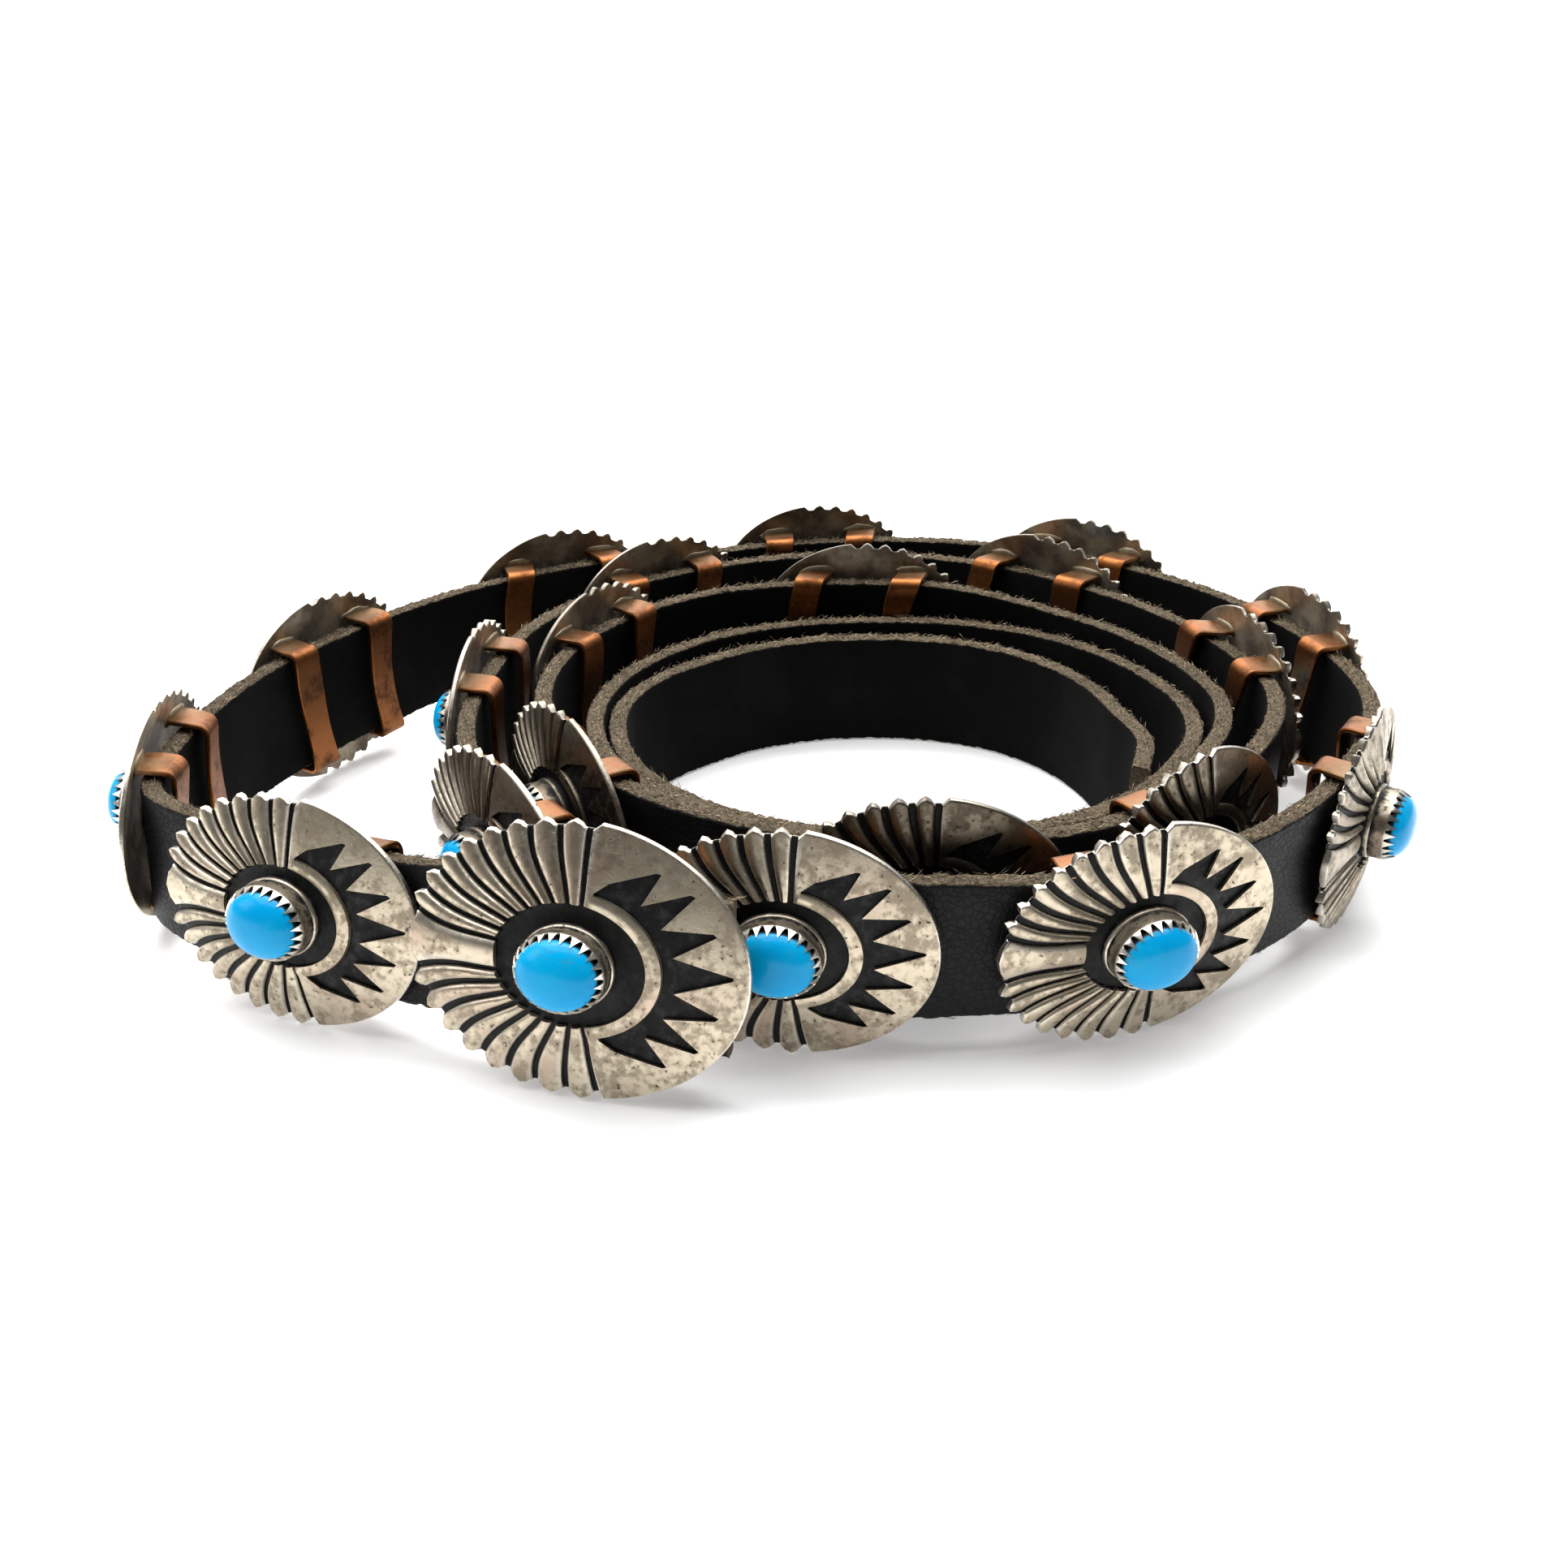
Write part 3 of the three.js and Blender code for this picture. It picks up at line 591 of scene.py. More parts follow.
def plate_mesh(name, scale, plate, materials):
    """The stamped plate with its bezel: fluted fan on the left, rayed crescent on the right."""
    half_length, half_height = PLATE_HALF_LENGTH * scale, PLATE_HALF_HEIGHT * scale
    grooves = groove_bearings()

    def line(k, share):
        rim, ring, bow = grooves[k]
        along = (share - RING) / (1 - RING)
        bearing = ring + (rim - ring) * along + bow * np.sin(np.pi * np.clip(along, 0, 1))
        return polar(share, bearing, half_length, half_height)

    def groove_point(k, offset, share):
        """A point across groove k: offset -1 and 1 are its edges."""
        share = np.asarray(share, float)
        step = 1e-3
        heading = line(k, share + step) - line(k, share - step)
        heading /= np.linalg.norm(heading, axis=-1, keepdims=True)
        across = np.stack([-heading[..., 1], heading[..., 0]], -1)
        along = np.clip((share - RING) / (1 - RING), 0, 1)[..., None]
        width = plate.groove_at_ring + (plate.groove_at_rim - plate.groove_at_ring) * along
        return line(k, share) + across * width / 2 * offset

    # Rows from the ring to the rim, as shares of the plate: to the crescent's inner edge, across
    # the cut-out, and out to the rim. The last few lie on the rounded rim
    rise_rows = np.linspace(RING + 2 * WALL, CRESCENT - WALL, 4)
    floor_count = 3
    rim_insets = np.array([1.0, 0.62, 0.30, 0.12, 0.03, 0.0]) * plate.rim_bevel * RIM_SPREAD
    rim_drops = np.array([0.0, 0.0, 0.10, 0.35, 0.68, 1.0]) * plate.rim_bevel
    # Wear and painted highlight on the rounded rim, strongest near its edge
    rim_wears_and_highlights = np.array([0.0, 0.0, 0.25, 0.8, 1.0, 0.8])

    def rows_for(outer, end):
        """Rows of a column where the cut-out ends at outer and the plate at end."""
        inner_floor = CRESCENT + WALL
        outer_floor = max(outer - WALL, inner_floor + 0.002)
        top_start = max(outer, outer_floor + WALL)
        last = end - rim_insets[0] / half_length
        return np.concatenate([rise_rows, np.linspace(inner_floor, outer_floor, floor_count),
                               np.linspace(top_start, last, 12),
                               end - rim_insets[1:] / half_length])

    plain_rows = rows_for(PLAIN_BREAK, 1.0)
    row_count = len(plain_rows)
    floor_rows = slice(len(rise_rows), len(rise_rows) + floor_count)
    columns = []

    def notch(across):
        """How far the rim is cut in: 0 on a lobe's top, 1 at a groove. across runs -1 to 1."""
        away = np.clip((abs(across) - 0.22) / 0.78, 0, 1)
        return away * away * (3 - 2 * away)

    def add(points, *levels):
        """A column of points with its drop, oxide, and wear with painted highlight, each one number
        or one for each row.
        """
        levels += (0.0,) * (3 - len(levels))
        columns.append([points, *(np.broadcast_to(level, row_count) for level in levels)])

    def fan_column(point_at, across, drop, oxide, wear_and_highlight):
        end = 1.0 - plate.notch_depth * notch(across) / half_length
        add(point_at(rows_for(PLAIN_BREAK, end)), drop, oxide, wear_and_highlight)

    def join(k, edge, bearing, steps):
        """Columns from the outermost groove's edge, at 0, to the plain half, at 1."""
        plain_end = polar(plain_rows, bearing, half_length, half_height)
        for t in steps:
            add(groove_point(k, edge, plain_rows) * (1 - t) + plain_end * t)

    lobe_steps = [0.0, 0.06, 0.22, 0.5, 0.78, 0.94, 1.0]
    for k in range(len(grooves)):
        floor = [(-0.72, plate.groove_depth, 1.0), (0, plate.groove_depth * 1.1, 1.0),
                 (0.72, plate.groove_depth, 1.0)]
        if k == 0:
            floor.insert(0, (-1, GROOVE_LIP, 0.0))
        if k == len(grooves) - 1:
            floor.append((1, GROOVE_LIP, 0.0))
        # The grooves' columns get wear and painted highlight of 0.6; oxide darkens their floors
        # over it
        for offset, drop, oxide in floor:
            fan_column(lambda rows, k=k, o=offset: groove_point(k, o, rows), 1.0, drop, oxide, 0.6)
        if k == len(grooves) - 1:
            break
        # Lobe edges and the columns next to them get wear and painted highlight of 0.3
        for step in lobe_steps:
            across = 2 * step - 1
            crown = plate.lobe_crown * (1 - across ** 2)
            edge = step in (0.0, 1.0)
            fan_column(lambda rows, k=k, t=step: groove_point(k, 1, rows) * (1 - t)
                       + groove_point(k + 1, -1, rows) * t,
                       across * 0.93 if edge else across, LOBE_LIP if edge else -crown,
                       0.0, 0.3 if edge or step in (0.06, 0.94) else 0.0)

    # Plain half, from the last groove up to the first. Only the ends follow the grooves
    join(len(grooves) - 1, 1, -BLEND_FROM, (0.33, 0.66))
    for angle in plain_bearings():
        outer, cut_here = cut_outline(angle)
        rows = rows_for(outer, 1.0)
        drop, oxide = np.zeros(row_count), np.zeros(row_count)
        band = (rise_rows - rise_rows[0]) / (rise_rows[-1] - rise_rows[0])
        drop[:len(rise_rows)] = -BAND_CROWN * np.sin(np.pi * band)
        if cut_here:
            drop[floor_rows] = plate.cut_depth
            oxide[floor_rows] = 0.8
        add(polar(rows, angle, half_length, half_height), drop, oxide)
    join(0, -1, BLEND_FROM, (0.66, 0.33))

    count = len(columns)
    xy = np.array([column[0] for column in columns]).transpose(1, 0, 2)
    drop, oxide, wear_and_highlight = (np.array([column[i] for column in columns]).T for i in (1, 2, 3))

    def back(points):
        return dome(points[..., 0], points[..., 1], scale)

    rings, heights, oxides, wears_and_highlights = [], [], [], []

    def ring(points, height, oxide_row, wear_and_highlight_row):
        rings.append(points)
        heights.append(np.broadcast_to(height, (count,)))
        oxides.append(np.broadcast_to(oxide_row, (count,)))
        wears_and_highlights.append(np.broadcast_to(wear_and_highlight_row, (count,)))

    # Channel round the bezel, from the bezel's foot out to the foot of the fan
    ring_edge = xy[0] * (RING - WALL) / (RING + 2 * WALL)
    bearing = np.degrees(np.arctan2(ring_edge[:, 1] / half_height, ring_edge[:, 0] / half_length))
    under = 0.3 * MM             # how far the channel runs on beneath the bezel's wall
    foot = polar(np.ones(count), bearing, BEZEL_HALF_LENGTH - under, BEZEL_HALF_HEIGHT - under)
    for t, depth in [(0.0, 0.7), (0.3, 0.9), (0.6, 1.0), (0.85, 0.94), (1.0, 0.8)]:
        points = foot * (1 - t) + ring_edge * t
        ring(points, back(points) + PLATE_THICKNESS - plate.ring_depth * depth, 1.0, 0.0)
    # Face
    from_rim = row_count - len(rim_drops)
    for r in range(row_count):
        height = back(xy[r]) + PLATE_THICKNESS - drop[r]
        rim_wear_and_highlight = wear_and_highlight[r]
        # The rim's rounding adds its wear and painted highlight
        if r >= from_rim:
            height = height - rim_drops[r - from_rim]
            rim_wear_and_highlight = np.maximum(wear_and_highlight[r], rim_wears_and_highlights[r - from_rim])
        ring(xy[r], height, oxide[r] * (1.0 if r < row_count - 1 else 0.7), rim_wear_and_highlight)
    face_rows = len(rings)
    # Edge of the sheet and the hollow back
    edge = xy[-1]
    ring(edge, back(edge) + BACK_SHIFT + 0.08 * MM, 0.3, 0.0)
    for share in (0.99, 0.94, 0.84, 0.7, 0.5, 0.3, 0.12):
        points = edge * share
        ring(points, back(points) + BACK_SHIFT, 0.0, 0.0)
    points = np.concatenate([np.column_stack([p, h]) for p, h in zip(rings, heights)])
    faces = grid_faces(count, len(rings))
    indices = [0 if i < face_rows * count else 1 for i in range(len(faces))]
    centre = len(points)
    points = np.vstack([points, [0, 0, PLATE_RISE + BACK_SHIFT]])
    faces += tip_faces(count, (len(rings) - 1) * count, centre)
    # The channel's inner edge is closed under the bezel
    middle = len(points)
    points = np.vstack([points, [0, 0, heights[0].mean()]])
    faces += tip_faces(count, 0, middle, flip=True)
    indices += [1] * count + [0] * count
    oxide_values = list(np.concatenate(oxides)) + [0.0, 1.0]
    wear_and_highlight_values = list(np.concatenate(wears_and_highlights)) + [0.0, 0.0]

    bezel_points, bezel_faces, bezel_oxide, bezel_wear_and_highlight = bezel_rings(plate, len(points))
    points = np.vstack([points, bezel_points])
    faces += bezel_faces
    indices += [0] * len(bezel_faces)
    return make_mesh(name, points, faces, materials, indices,
                     {"oxide": oxide_values + bezel_oxide, "wear_and_highlight": wear_and_highlight_values + bezel_wear_and_highlight},
                     crease=math.radians(32))


BEZEL_STEPS = 8                  # points round the bezel for each tooth


def bezel_rings(plate, start):
    """Points and faces of the bezel: a footed wall whose top is cut into teeth that lean in."""
    count = plate.teeth * BEZEL_STEPS
    turn = np.arange(count) / count * 2 * math.pi
    phase = (np.arange(count) % BEZEL_STEPS) / BEZEL_STEPS
    tooth = np.clip(1 - 1.3 * np.abs(2 * phase - 1), 0.02, 1)
    wall = 0.28 * MM
    base = BEZEL_TOP + 0.25 * MM - plate.tooth_height
    low = 1.75 * MM
    face = 0.3 * FOOT

    def lean(share):
        return 0.62 * MM * share ** 1.2

    # Inset from the foot, height, oxide, and wear with painted highlight: up the outside, over the
    # teeth and down inside
    rows = [(-FOOT, low, 1.0, 0.0), (-FOOT, 2.85 * MM, 0.42, 0.0),
            (-0.5 * FOOT, 2.98 * MM, 0.2, 0.3), (face, 3.05 * MM, 0.6, 0.0),
            (face, base - 0.15 * MM, 0.38, 0.0), (face, base, 0.0, 0.6)]
    # The teeth get full wear and painted highlight
    rows += [(face + lean(share * tooth), base + plate.tooth_height * share * tooth, 0.0, 1.0)
             for share in (0.4, 0.75, 1.0)]
    rows += [(wall + face + lean(share * tooth) - 0.05 * MM,
              base + plate.tooth_height * share * tooth - 0.04 * MM, 0.6, 0.0)
             for share in (1.0, 0.4)]
    rows += [(wall, base, 1.0, 0.0), (wall, low, 1.0, 0.0)]
    points, oxides, wears_and_highlights = [], [], []
    for inset, height, oxide, wear_and_highlight in rows:
        points.append(np.column_stack([(BEZEL_HALF_LENGTH - FOOT - inset) * np.cos(turn),
                                       (BEZEL_HALF_HEIGHT - FOOT - inset) * np.sin(turn),
                                       np.broadcast_to(height, count)]))
        oxides += [oxide] * count
        wears_and_highlights += [wear_and_highlight] * count
    faces = grid_faces(count, len(rows), start)
    last = start + (len(rows) - 1) * count
    faces += [(last + i, last + (i + 1) % count, start + (i + 1) % count, start + i)
              for i in range(count)]
    return np.concatenate(points), faces, oxides, wears_and_highlights


SHADE_TURNS = [(11, 0.0), (13, 0.6), (17, 0.45), (21, 0.8)]    # up to this concho, this much painted shade
SHADE_SIDE = {"08": 0.4, "07": 0.3}


def dullness(number):
    """How much painted shade darkens a concho: more on the inner turns and on the right side."""
    if number == "buckle":
        return 0.0
    turn = next(share for end, share in SHADE_TURNS if int(number) < end)
    return max(turn, SHADE_SIDE.get(number, 0.0))


class BELT_OT_plates(bpy.types.Operator):
    """Build the silver plates with their bezels"""

    bl_idname = "belt.plates"
    bl_label = "Silver plates"

    def execute(self, context):
        finish, plate = context.scene.belt_finish, context.scene.belt_plate
        materials = [silver_material(finish), back_material()]
        large = plate_mesh("large_plate", BUCKLE_SCALE, plate, materials)
        small = plate_mesh("small_plate", 1.0, plate, materials)
        for number in NUMBERS:
            piece = seated_copy(f"silver_concho_{number}", large if number == "buckle" else small,
                                number, dull=dullness(number))
            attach(piece, "root")
            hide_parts(concho_node(number))
        return {"FINISHED"}


# Stones

STONE_HALF_LENGTH = 4.22 * MM
STONE_HALF_HEIGHT = 3.62 * MM
STONE_GIRDLE = 5.0 * MM          # where its upright side ends
GIRDLE_SHADE_REACH = 0.35 * MM          # how far above that the stone is darkened with painted shade


def stone_mesh(name, material):
    """A tall oval cabochon."""
    around, steps = 56, 14
    rows = [(0.96, STONE_SEAT), (1.0, STONE_SEAT + 0.2 * MM), (1.0, STONE_GIRDLE)]
    for i in range(1, steps):
        angle = math.pi / 2 * i / steps
        rise = (STONE_TOP - STONE_GIRDLE) * math.sin(angle)
        rows.append((math.cos(angle) ** 0.86, STONE_GIRDLE + rise))
    turn = np.arange(around) / around * 2 * math.pi
    points = np.concatenate([np.column_stack([STONE_HALF_LENGTH * share * np.cos(turn),
                                              STONE_HALF_HEIGHT * share * np.sin(turn),
                                              np.full(around, height)]) for share, height in rows])
    faces = grid_faces(around, len(rows))
    top = len(points)
    points = np.vstack([points, [0, 0, STONE_TOP], [0, 0, STONE_SEAT]])
    faces += tip_faces(around, (len(rows) - 1) * around, top)
    faces += tip_faces(around, 0, top + 1, flip=True)
    edge = np.repeat([min(1.0, max(0.0, (share - 0.45) / 0.3)) for share, _ in rows], around)
    girdle_shade = np.repeat([float(height < STONE_GIRDLE + GIRDLE_SHADE_REACH) for _, height in rows], around)
    return make_mesh(name, points, faces, [material], attributes={
        "edge": [*edge, 0.0, 0.0], "girdle_shade": [*girdle_shade, 0.0, 1.0]}, crease=math.radians(50))


class BELT_OT_stones(bpy.types.Operator):
    """Build the turquoise cabochons"""

    bl_idname = "belt.stones"
    bl_label = "Turquoise stones"

    def execute(self, context):
        cabochon = stone_mesh("cabochon", stone_material(context.scene.belt_finish))
        for number in NUMBERS:
            piece = seated_copy(f"turquoise_{number}", cabochon, number)
            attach(piece, "root")
            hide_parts(stone_node(number))
        return {"FINISHED"}


# Loops

STRIP_THICKNESS = 0.6 * MM       # of the bent strip, within the thicker solid
STRIP_TOP = 8.15 * MM            # its middle above and below the plate's middle
STRIP_BOTTOM = 9.1 * MM
STRIP_BEND = 1.1 * MM
STRIP_SNUG = 0.2 * MM            # how far it is pulled in towards the strap
# Half of a strip's section, as shares of half its width and half its thickness
STRIP_SECTION = [(-1, -0.55), (-0.94, -1), (0.94, -1), (1, -0.55)]
SOLDER_HALF_LENGTH = 2.7 * MM
SOLDER_HALF_HEIGHT = 1.15 * MM
SOLDER_RISE = 0.6 * MM
FILM_AND_HIGHLIGHT_REACH = 0.16                # share of a strip, from its upper foot, that may get the paler film and painted highlight


def loop_path(scale):
    """Middle line of a copper strip as (out, up) points: over the strap, down behind and back."""
    back = STRIP_SNUG - (LOOP_BACK + LOOP_THICKNESS - STRIP_THICKNESS / 2)

    def half(reach):
        start = dome(LOOP_SPACING / 2, reach, scale) + BACK_SHIFT
        points = [(start + (back + STRIP_BEND - start) * t, reach) for t in (0.0, 0.3, 0.6, 1.0)]
        for i in range(1, 7):
            angle = math.pi / 2 * i / 6
            points.append((back + STRIP_BEND * (1 - math.sin(angle)),
                           reach - STRIP_BEND * (1 - math.cos(angle))))
        return points

    heights = np.linspace(STRIP_TOP - STRIP_BEND, STRIP_BEND - STRIP_BOTTOM, 18)[1:-1]
    straight = [(back, height) for height in heights]
    lower = [(out, -up) for out, up in reversed(half(STRIP_BOTTOM))]
    return np.array(half(STRIP_TOP) + straight + lower)


def loops_mesh(name, scale, materials, seed):
    """Two hand-bent copper strips and the solder at their feet."""
    draw = random.Random(seed)
    points, faces, indices, film_and_highlight_levels = [], [], [], []
    section = STRIP_SECTION + [(-across, -thick) for across, thick in STRIP_SECTION]
    path = loop_path(scale)
    steps = np.concatenate([[0], np.cumsum(np.linalg.norm(np.diff(path, axis=0), axis=1))])
    share = steps / steps[-1]
    for side in (-1, 1):
        # How far this strip bows, swings and slants sideways
        bow = (draw.random() + 0.45) * 1.9 * MM
        swing = (draw.random() - 0.6) * 1.6 * MM
        skew = (draw.random() - 0.75) * 1.6 * MM
        phase = draw.random() * 6
        middle = side * LOOP_SPACING / 2
        start = len(points)
        for i, (out, up) in enumerate(path):
            before, after = path[max(i - 1, 0)], path[min(i + 1, len(path) - 1)]
            heading = (after - before) / np.linalg.norm(after - before)
            normal = np.array([heading[1], -heading[0]])
            sway = bow * math.sin(math.pi * share[i]) ** 1.5 + skew * (share[i] - 0.5)
            sway += swing * math.sin(2 * math.pi * share[i])
            sway += 0.12 * MM * math.sin(9 * share[i] + phase)
            width = LOOP_WIDTH / 2 * (1 - 0.16 * math.sin(math.pi * share[i]) ** 2
                                      + 0.035 * math.sin(13 * share[i] + 2 * phase))
            tilt = 0.10 * MM * math.sin(7 * share[i] + phase)
            for across, thick in section:
                offset = normal * (thick * STRIP_THICKNESS / 2 + across * tilt)
                points.append((middle + sway + across * width, up + offset[1], out + offset[0]))
                film_and_highlight_levels.append(max(0.0, 1 - share[i] / FILM_AND_HIGHLIGHT_REACH))
        ring = len(section)
        faces += grid_faces(ring, len(path), start) + end_faces(ring, len(path), start)
        indices += [0] * (len(faces) - len(indices))
        for end, slant in ((0, -0.5), (-1, 0.5)):
            solder_mound(points, faces, middle + skew * slant, path[end][1], scale, draw)
        indices += [1] * (len(faces) - len(indices))
        film_and_highlight_levels += [0.0] * (len(points) - len(film_and_highlight_levels))
    return make_mesh(name, points, faces, materials, indices, {"film_and_highlight": film_and_highlight_levels},
                     crease=math.radians(40))


def solder_mound(points, faces, right, up, scale, draw):
    """A low lump of solder round a strip's foot, on the plate's back."""
    around, rows = 14, 4
    start = len(points)
    seed = draw.random() * 50
    foot = BACK_SHIFT + 0.1 * MM
    for r in range(rows):
        risen = math.sin(math.pi / 2 * r / rows)
        share = math.cos(math.pi / 2 * r / rows)
        for i in range(around):
            turn = 2 * math.pi * i / around
            spot = Vector((math.cos(turn) * 1.7 + seed, math.sin(turn) * 1.7, seed))
            lump = share * (1 + 0.3 * noise.noise(spot))
            x = right + SOLDER_HALF_LENGTH * lump * math.cos(turn)
            y = up + SOLDER_HALF_HEIGHT * lump * math.sin(turn)
            points.append((x, y, dome(x, y, scale) + foot - SOLDER_RISE * risen))
    points.append((right, up, dome(right, up, scale) + foot - SOLDER_RISE))
    points.append((right, up, dome(right, up, scale) + foot))
    faces += [(a, d, c, b) for a, b, c, d in grid_faces(around, rows, start)]
    faces += tip_faces(around, start + (rows - 1) * around, len(points) - 2, flip=True)
    faces += tip_faces(around, start, len(points) - 1)


class BELT_OT_loops(bpy.types.Operator):
    """Build the copper loops on the plates' backs"""

    bl_idname = "belt.loops"
    bl_label = "Copper loops"

    def execute(self, context):
        finish = context.scene.belt_finish
        materials = [copper_material(finish), solder_material()]
        for seed, number in enumerate(NUMBERS):
            scale = BUCKLE_SCALE if number == "buckle" else 1.0
            name = f"copper_loops_{number}"
            piece = seated_copy(name, loops_mesh(name, scale, materials, seed), number)
            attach(piece, "root")
            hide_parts(concho_node(number))
        return {"FINISHED"}


# Strap

STRAP_CORNER = 0.3 * MM          # rounding of its four long edges
STRAP_STEP = 0.42 * MM           # between two sections of its mesh
FIBRE_STEP = 0.75 * MM           # between the places where fibres may grow
FIBRE_SEED = 7
UNDER_SHARE = 0.2                # fibres on the bottom edge for each one on the top edge
COARSE_FUZZ = 1300               # lumps of the cut edges, in noise cells for each metre
FINE_FUZZ = 3100
FLOOR_GAP = 0.05 * MM            # the strap's mesh stays this far above the floor


def strap_sections():
    """Middle, outward and upward direction of each section of the strap's solid, in order."""
    places, edges, _ = welded(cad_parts["strap"].data)
    span = {edge: float(np.linalg.norm(places[edge[0]] - places[edge[1]])) for edge in edges}
    near = 3e-6                  # two lengths this close are the same
    tall = [tuple(sorted(edge, key=lambda i: places[i][2])) for edge in edges
            if abs(span[edge] - STRAP_WIDTH) < near]
    lows = np.array([places[low] for low, _ in tall])
    highs = np.array([places[high] for _, high in tall])
    pairs = []
    for i in range(len(tall)):
        gaps, over = lows - lows[i], highs - highs[i]
        match = (np.abs(np.linalg.norm(gaps, axis=1) - STRAP_THICKNESS) < near) & (
            np.linalg.norm(gaps - over, axis=1) < near)
        pairs += [(i, int(j)) for j in np.flatnonzero(match) if j > i]
    if 2 * len(pairs) != len(tall):
        raise RuntimeError(f"{len(tall)} upright edges of the strap make {len(pairs)} pairs")
    owner = {}
    for n, pair in enumerate(pairs):
        for i in pair:
            owner[tall[i][0]] = owner[tall[i][1]] = n
    beside = [set() for _ in pairs]
    for (a, b), size in span.items():
        if a in owner and b in owner and owner[a] != owner[b] and size < 0.75 * STRAP_WIDTH:
            beside[owner[a]].add(owner[b])
            beside[owner[b]].add(owner[a])
    ends = [n for n, others in enumerate(beside) if len(others) == 1]
    middle = places.mean(0)
    centres = [(lows[i] + lows[j] + highs[i] + highs[j]) / 4 for i, j in pairs]
    if len(ends) != 2:
        raise RuntimeError(f"the strap's sections have {len(ends)} ends")
    order = [max(ends, key=lambda n: np.linalg.norm(centres[n] - middle))]
    while len(order) < len(pairs):
        following = [n for n in beside[order[-1]] if n not in order[-2:]]
        if len(following) != 1:
            raise RuntimeError("the strap's sections don't follow each other")
        order.append(following[0])
    sections = []
    for n in order:
        i, j = pairs[n]
        out = (lows[j] + highs[j] - lows[i] - highs[i]) / 2
        out *= np.sign(out @ (centres[n] - middle)) / np.linalg.norm(out)
        up = highs[i] - lows[i]
        sections.append(np.concatenate([centres[n], out, up / np.linalg.norm(up)]))
    return np.array(sections)


def smooth_run(rows, step):
    """The rows along a smooth curve through them, a step apart, with their distances."""
    at = np.concatenate([[0], np.cumsum(np.linalg.norm(np.diff(rows[:, :3], axis=0), axis=1))])
    slopes = np.gradient(rows, at, axis=0)
    count = int(at[-1] / step) + 1
    wanted = np.linspace(0, at[-1], count)
    i = np.clip(np.searchsorted(at, wanted, side="right") - 1, 0, len(at) - 2)
    gap = (at[i + 1] - at[i])[:, None]
    t = ((wanted - at[i]) / gap[:, 0])[:, None]
    run = (rows[i] * (1 + 2 * t) * (1 - t) ** 2 + slopes[i] * gap * t * (1 - t) ** 2
           + rows[i + 1] * t * t * (3 - 2 * t) - slopes[i + 1] * gap * t * t * (1 - t))
    for axis in (slice(3, 6), slice(6, 9)):
        run[:, axis] /= np.linalg.norm(run[:, axis], axis=1, keepdims=True)
    return wanted, run


def strap_outline():
    """Section of the strap as (out, up, cut, suede) points."""
    half_thick, half_width = STRAP_THICKNESS / 2, STRAP_WIDTH / 2
    outer = [(half_thick, y * half_width, 0.0, 0.0) for y in (-0.93, -0.6, -0.2, 0.2, 0.6, 0.93)]
    top = [(half_thick - 0.08 * MM, half_width - STRAP_CORNER, 0.35, 0.0),
           (half_thick - STRAP_CORNER, half_width - 0.05 * MM, 0.9, 0.0)]
    top += [(x * half_thick, half_width, 1.0, 0.0) for x in (0.5, 0.2, -0.1, -0.4)]
    top += [(STRAP_CORNER - half_thick, half_width - 0.05 * MM, 0.9, 1.0),
            (0.08 * MM - half_thick, half_width - STRAP_CORNER, 0.35, 1.0)]
    half = outer + top
    return half + [(-x, -y, cut, 1 - suede) for x, y, cut, suede in half]


class BELT_OT_strap(bpy.types.Operator):
    """Build the leather strap"""

    bl_idname = "belt.strap"
    bl_label = "Leather strap"

    def execute(self, context):
        strap, finish = context.scene.belt_strap, context.scene.belt_finish
        _, run = smooth_run(strap_sections(), STRAP_STEP)
        outline = strap_outline()
        points, cuts, suedes = [], [], []
        for row in run:
            centre, out, up = row[:3], row[3:6], row[6:9]
            for x, y, cut, suede in outline:
                place = centre + out * x + up * y
                if cut:
                    shift = noise.noise(Vector(place * COARSE_FUZZ))
                    shift += 0.8 * noise.noise(Vector(place * FINE_FUZZ))
                    place = place + up * (math.copysign(1, y) * cut * strap.edge_roughness
                                          * (shift - 0.5))
                place[2] = max(place[2], FLOOR_GAP)
                points.append(place)
                cuts.append(cut)
                suedes.append(suede)
        ring = len(outline)
        faces = grid_faces(ring, len(run)) + end_faces(ring, len(run))
        for end in (0, len(run) - 1):
            cuts[end * ring:(end + 1) * ring] = [1.0] * ring
        piece = make_piece("leather_strap", points, faces, [leather_material(finish)],
                           attributes={"cut": cuts, "suede": suedes}, crease=math.radians(60))
        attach(piece, "root")
        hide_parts("strap")
        return {"FINISHED"}


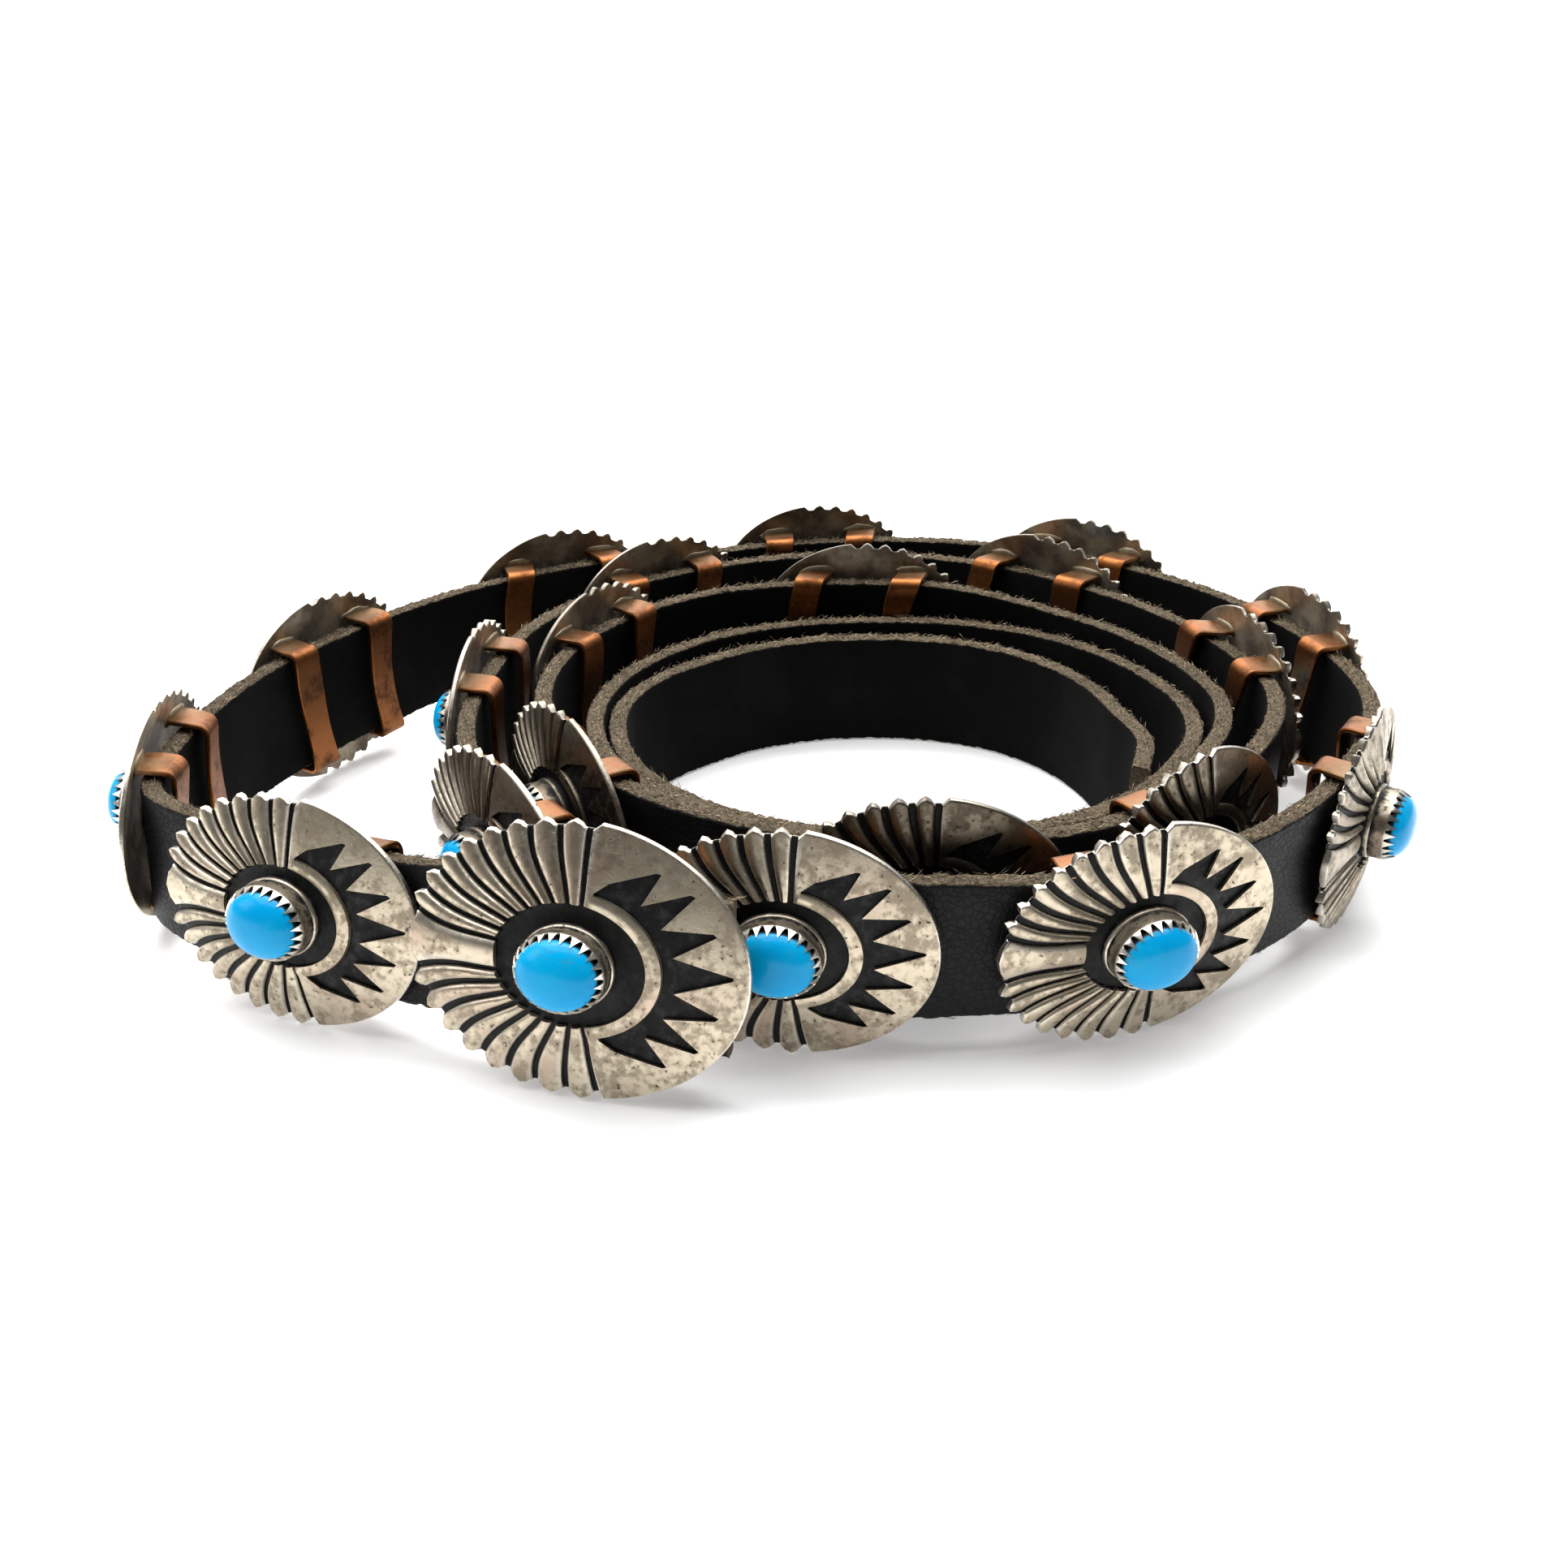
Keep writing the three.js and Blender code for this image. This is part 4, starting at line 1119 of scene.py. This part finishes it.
class BELT_OT_fibres(bpy.types.Operator):
    """Build the loose fibres along the strap's cut edges"""

    bl_idname = "belt.fibres"
    bl_label = "Loose fibres"

    def execute(self, context):
        strap, finish = context.scene.belt_strap, context.scene.belt_finish
        at, run = smooth_run(strap_sections(), FIBRE_STEP)
        draw = random.Random(FIBRE_SEED)
        points, faces, shades = [], [], []
        total = int(at[-1] / MM * strap.fibres_per_mm)
        for n in range(int(total * (1 + UNDER_SHARE))):
            side = 1 if n < total else -1
            row = run[draw.randrange(len(run))]
            centre, out, up = row[:3], row[3:6], row[6:9]
            along = np.cross(up, out)
            across = (draw.random() * 2 - 1) * 0.46 * STRAP_THICKNESS
            root = centre + out * across + up * side * (STRAP_WIDTH / 2 - 0.12 * MM)
            size = strap.fibre_length * (0.35 + 1.5 * draw.random() ** 2)
            heading = 1 if draw.random() < 0.5 else -1
            lift = 0.2 + 0.9 * draw.random() ** 2
            if side < 0:
                lift *= 0.25
            lean = (draw.random() - 0.5) * 0.7
            first = along * heading + up * side * lift + out * lean
            first /= np.linalg.norm(first)
            second = first + up * side * (draw.random() - 0.55) * 0.9 + out * (draw.random() - 0.5)
            second /= np.linalg.norm(second)
            knee = root + first * size * 0.55
            tip = knee + second * size * 0.45
            if min(root[2], knee[2], tip[2]) > 0.1 * MM:
                add_fibre(points, faces, root, knee, tip, strap.fibre_thickness / 2, up)
                shades += [draw.random()] * 7
        piece = make_piece("leather_fibres", points, faces, [fibre_material(finish)],
                           attributes={"shade": shades})
        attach(piece, "root")
        return {"FINISHED"}


def add_fibre(points, faces, root, knee, tip, radius, up):
    """One fibre: two three-sided lengths that end in a point."""
    start = len(points)
    heading = (knee - root) / np.linalg.norm(knee - root)
    side = np.cross(heading, up)
    side /= np.linalg.norm(side)
    other = np.cross(side, heading)
    for centre, share in ((root, 1.0), (knee, 0.85)):
        for i in range(3):
            turn = 2 * math.pi * i / 3
            around = side * math.cos(turn) + other * math.sin(turn)
            points.append(centre + around * radius * share)
    points.append(tip)
    for i in range(3):
        j = (i + 1) % 3
        faces.append((start + i, start + j, start + 3 + j, start + 3 + i))
        faces.append((start + 3 + i, start + 3 + j, start + 6))
    faces.append((start + 2, start + 1, start))


# Stage

SENSOR_WIDTH = 36.0              # millimetres, as is the lens
LENS = 36.06
CAMERA_SIDE = 0.249 * MM         # the camera's place to the right of the coil's middle
FLOOR_FRONT = -3.0               # the floor, its curve up to the backdrop and their size, in metres
FLOOR_BACK = 1.2
SWEEP_RADIUS = 1.0
BACKDROP_TOP = 4.0
FLOOR_HALF_WIDTH = 4.0
FLOOR_GLOW = 0.3
SKY = (1.0, 0.99, 0.97, 1.0)
SKY_STRENGTH = 0.11
# Name, place, what it points at, side in metres and power in watts
LIGHTS = [("top", (-0.05, 0.3, 0.8), (0, 0, 0.01), 1.3, 19.0),
          ("left", (-0.8, -0.1, 0.5), (0, 0, 0.02), 0.5, 2.0),
          ("backdrop", (0, 0.7, 1.6), (0, 2.2, 0.4), 1.5, 60.0)]


class BELT_OT_camera(bpy.types.Operator):
    """Set up the camera in front of the coil"""

    bl_idname = "belt.camera"
    bl_label = "Camera"

    def execute(self, context):
        stage = context.scene.belt_stage
        data = bpy.data.cameras.new("camera")
        data.sensor_fit = "HORIZONTAL"
        data.sensor_width = SENSOR_WIDTH
        data.lens = LENS
        data.clip_start, data.clip_end = 0.005, 20.0
        camera = bpy.data.objects.new("camera", data)
        camera.location = (CAMERA_SIDE, -stage.camera_distance, stage.camera_height)
        camera.rotation_euler = (math.pi / 2 - stage.camera_pitch, 0, 0)
        context.scene.collection.objects.link(camera)
        context.scene.camera = camera
        return {"FINISHED"}


class BELT_OT_stage(bpy.types.Operator):
    """Lay the pale floor and its backdrop, and set the lights"""

    bl_idname = "belt.stage"
    bl_label = "Floor and lights"

    def execute(self, context):
        paint = Paint("pale_floor")
        shade = paint.mix(paint.noise(0.2, 2.0), (0.86, 0.86, 0.855), (0.90, 0.90, 0.895))
        material = paint.surface(Base_Color=shade, Roughness=0.75, Emission_Color=(1, 1, 1, 1),
                                 Emission_Strength=FLOOR_GLOW)
        profile = [(FLOOR_FRONT, 0.0), (FLOOR_BACK, 0.0)]
        for i in range(1, 13):
            angle = math.pi / 2 * i / 12
            profile.append((FLOOR_BACK + SWEEP_RADIUS * math.sin(angle),
                            SWEEP_RADIUS * (1 - math.cos(angle))))
        profile.append((FLOOR_BACK + SWEEP_RADIUS, BACKDROP_TOP))
        points = [(x, y, z) for y, z in profile for x in (-FLOOR_HALF_WIDTH, FLOOR_HALF_WIDTH)]
        faces = [(2 * i, 2 * i + 1, 2 * i + 3, 2 * i + 2) for i in range(len(profile) - 1)]
        floor = make_piece("floor", points, faces, [material])
        world = bpy.data.worlds.new("studio")
        world.use_nodes = True
        background = world.node_tree.nodes["Background"]
        background.inputs["Color"].default_value = SKY
        background.inputs["Strength"].default_value = SKY_STRENGTH
        context.scene.world = world
        for name, place, target, size, power in LIGHTS:
            data = bpy.data.lights.new(name, "AREA")
            data.shape, data.size, data.energy = "SQUARE", size, power
            lamp = bpy.data.objects.new(name, data)
            lamp.location = place
            heading = Vector(target) - Vector(place)
            lamp.rotation_euler = heading.to_track_quat("-Z", "Y").to_euler()
            context.scene.collection.objects.link(lamp)
        context.scene.view_settings.view_transform = "Standard"
        return {"FINISHED"}


class BELT_PT_panel(bpy.types.Panel):
    """The belt's pieces, in the order they are built"""

    bl_label = "Concho belt"
    bl_idname = "BELT_PT_panel"
    bl_space_type = "VIEW_3D"
    bl_region_type = "UI"
    bl_category = "Concho belt"

    def draw(self, context):
        for operator in STEPS:
            self.layout.operator(operator.bl_idname)
        for group in GROUPS:
            settings = getattr(context.scene, group)
            box = self.layout.box()
            for key in settings.bl_rna.properties.keys():
                if key not in ("rna_type", "name"):
                    box.prop(settings, key)


STEPS = (BELT_OT_camera, BELT_OT_strap, BELT_OT_fibres, BELT_OT_plates, BELT_OT_stones,
         BELT_OT_loops, BELT_OT_stage)
GROUPS = {"belt_plate": PlateSettings, "belt_strap": StrapSettings,
          "belt_finish": FinishSettings, "belt_stage": StageSettings}
CLASSES = (*GROUPS.values(), *STEPS, BELT_PT_panel)


def register():
    for each in CLASSES:
        bpy.utils.register_class(each)
    for key, group in GROUPS.items():
        setattr(bpy.types.Scene, key, PointerProperty(type=group))


def unregister():
    for key in GROUPS:
        delattr(bpy.types.Scene, key)
    for each in reversed(CLASSES):
        bpy.utils.unregister_class(each)


def main():
    register()
    for operator in STEPS:
        group, name = operator.bl_idname.split(".")
        getattr(getattr(bpy.ops, group), name)()


if __name__ == "__main__":
    main()
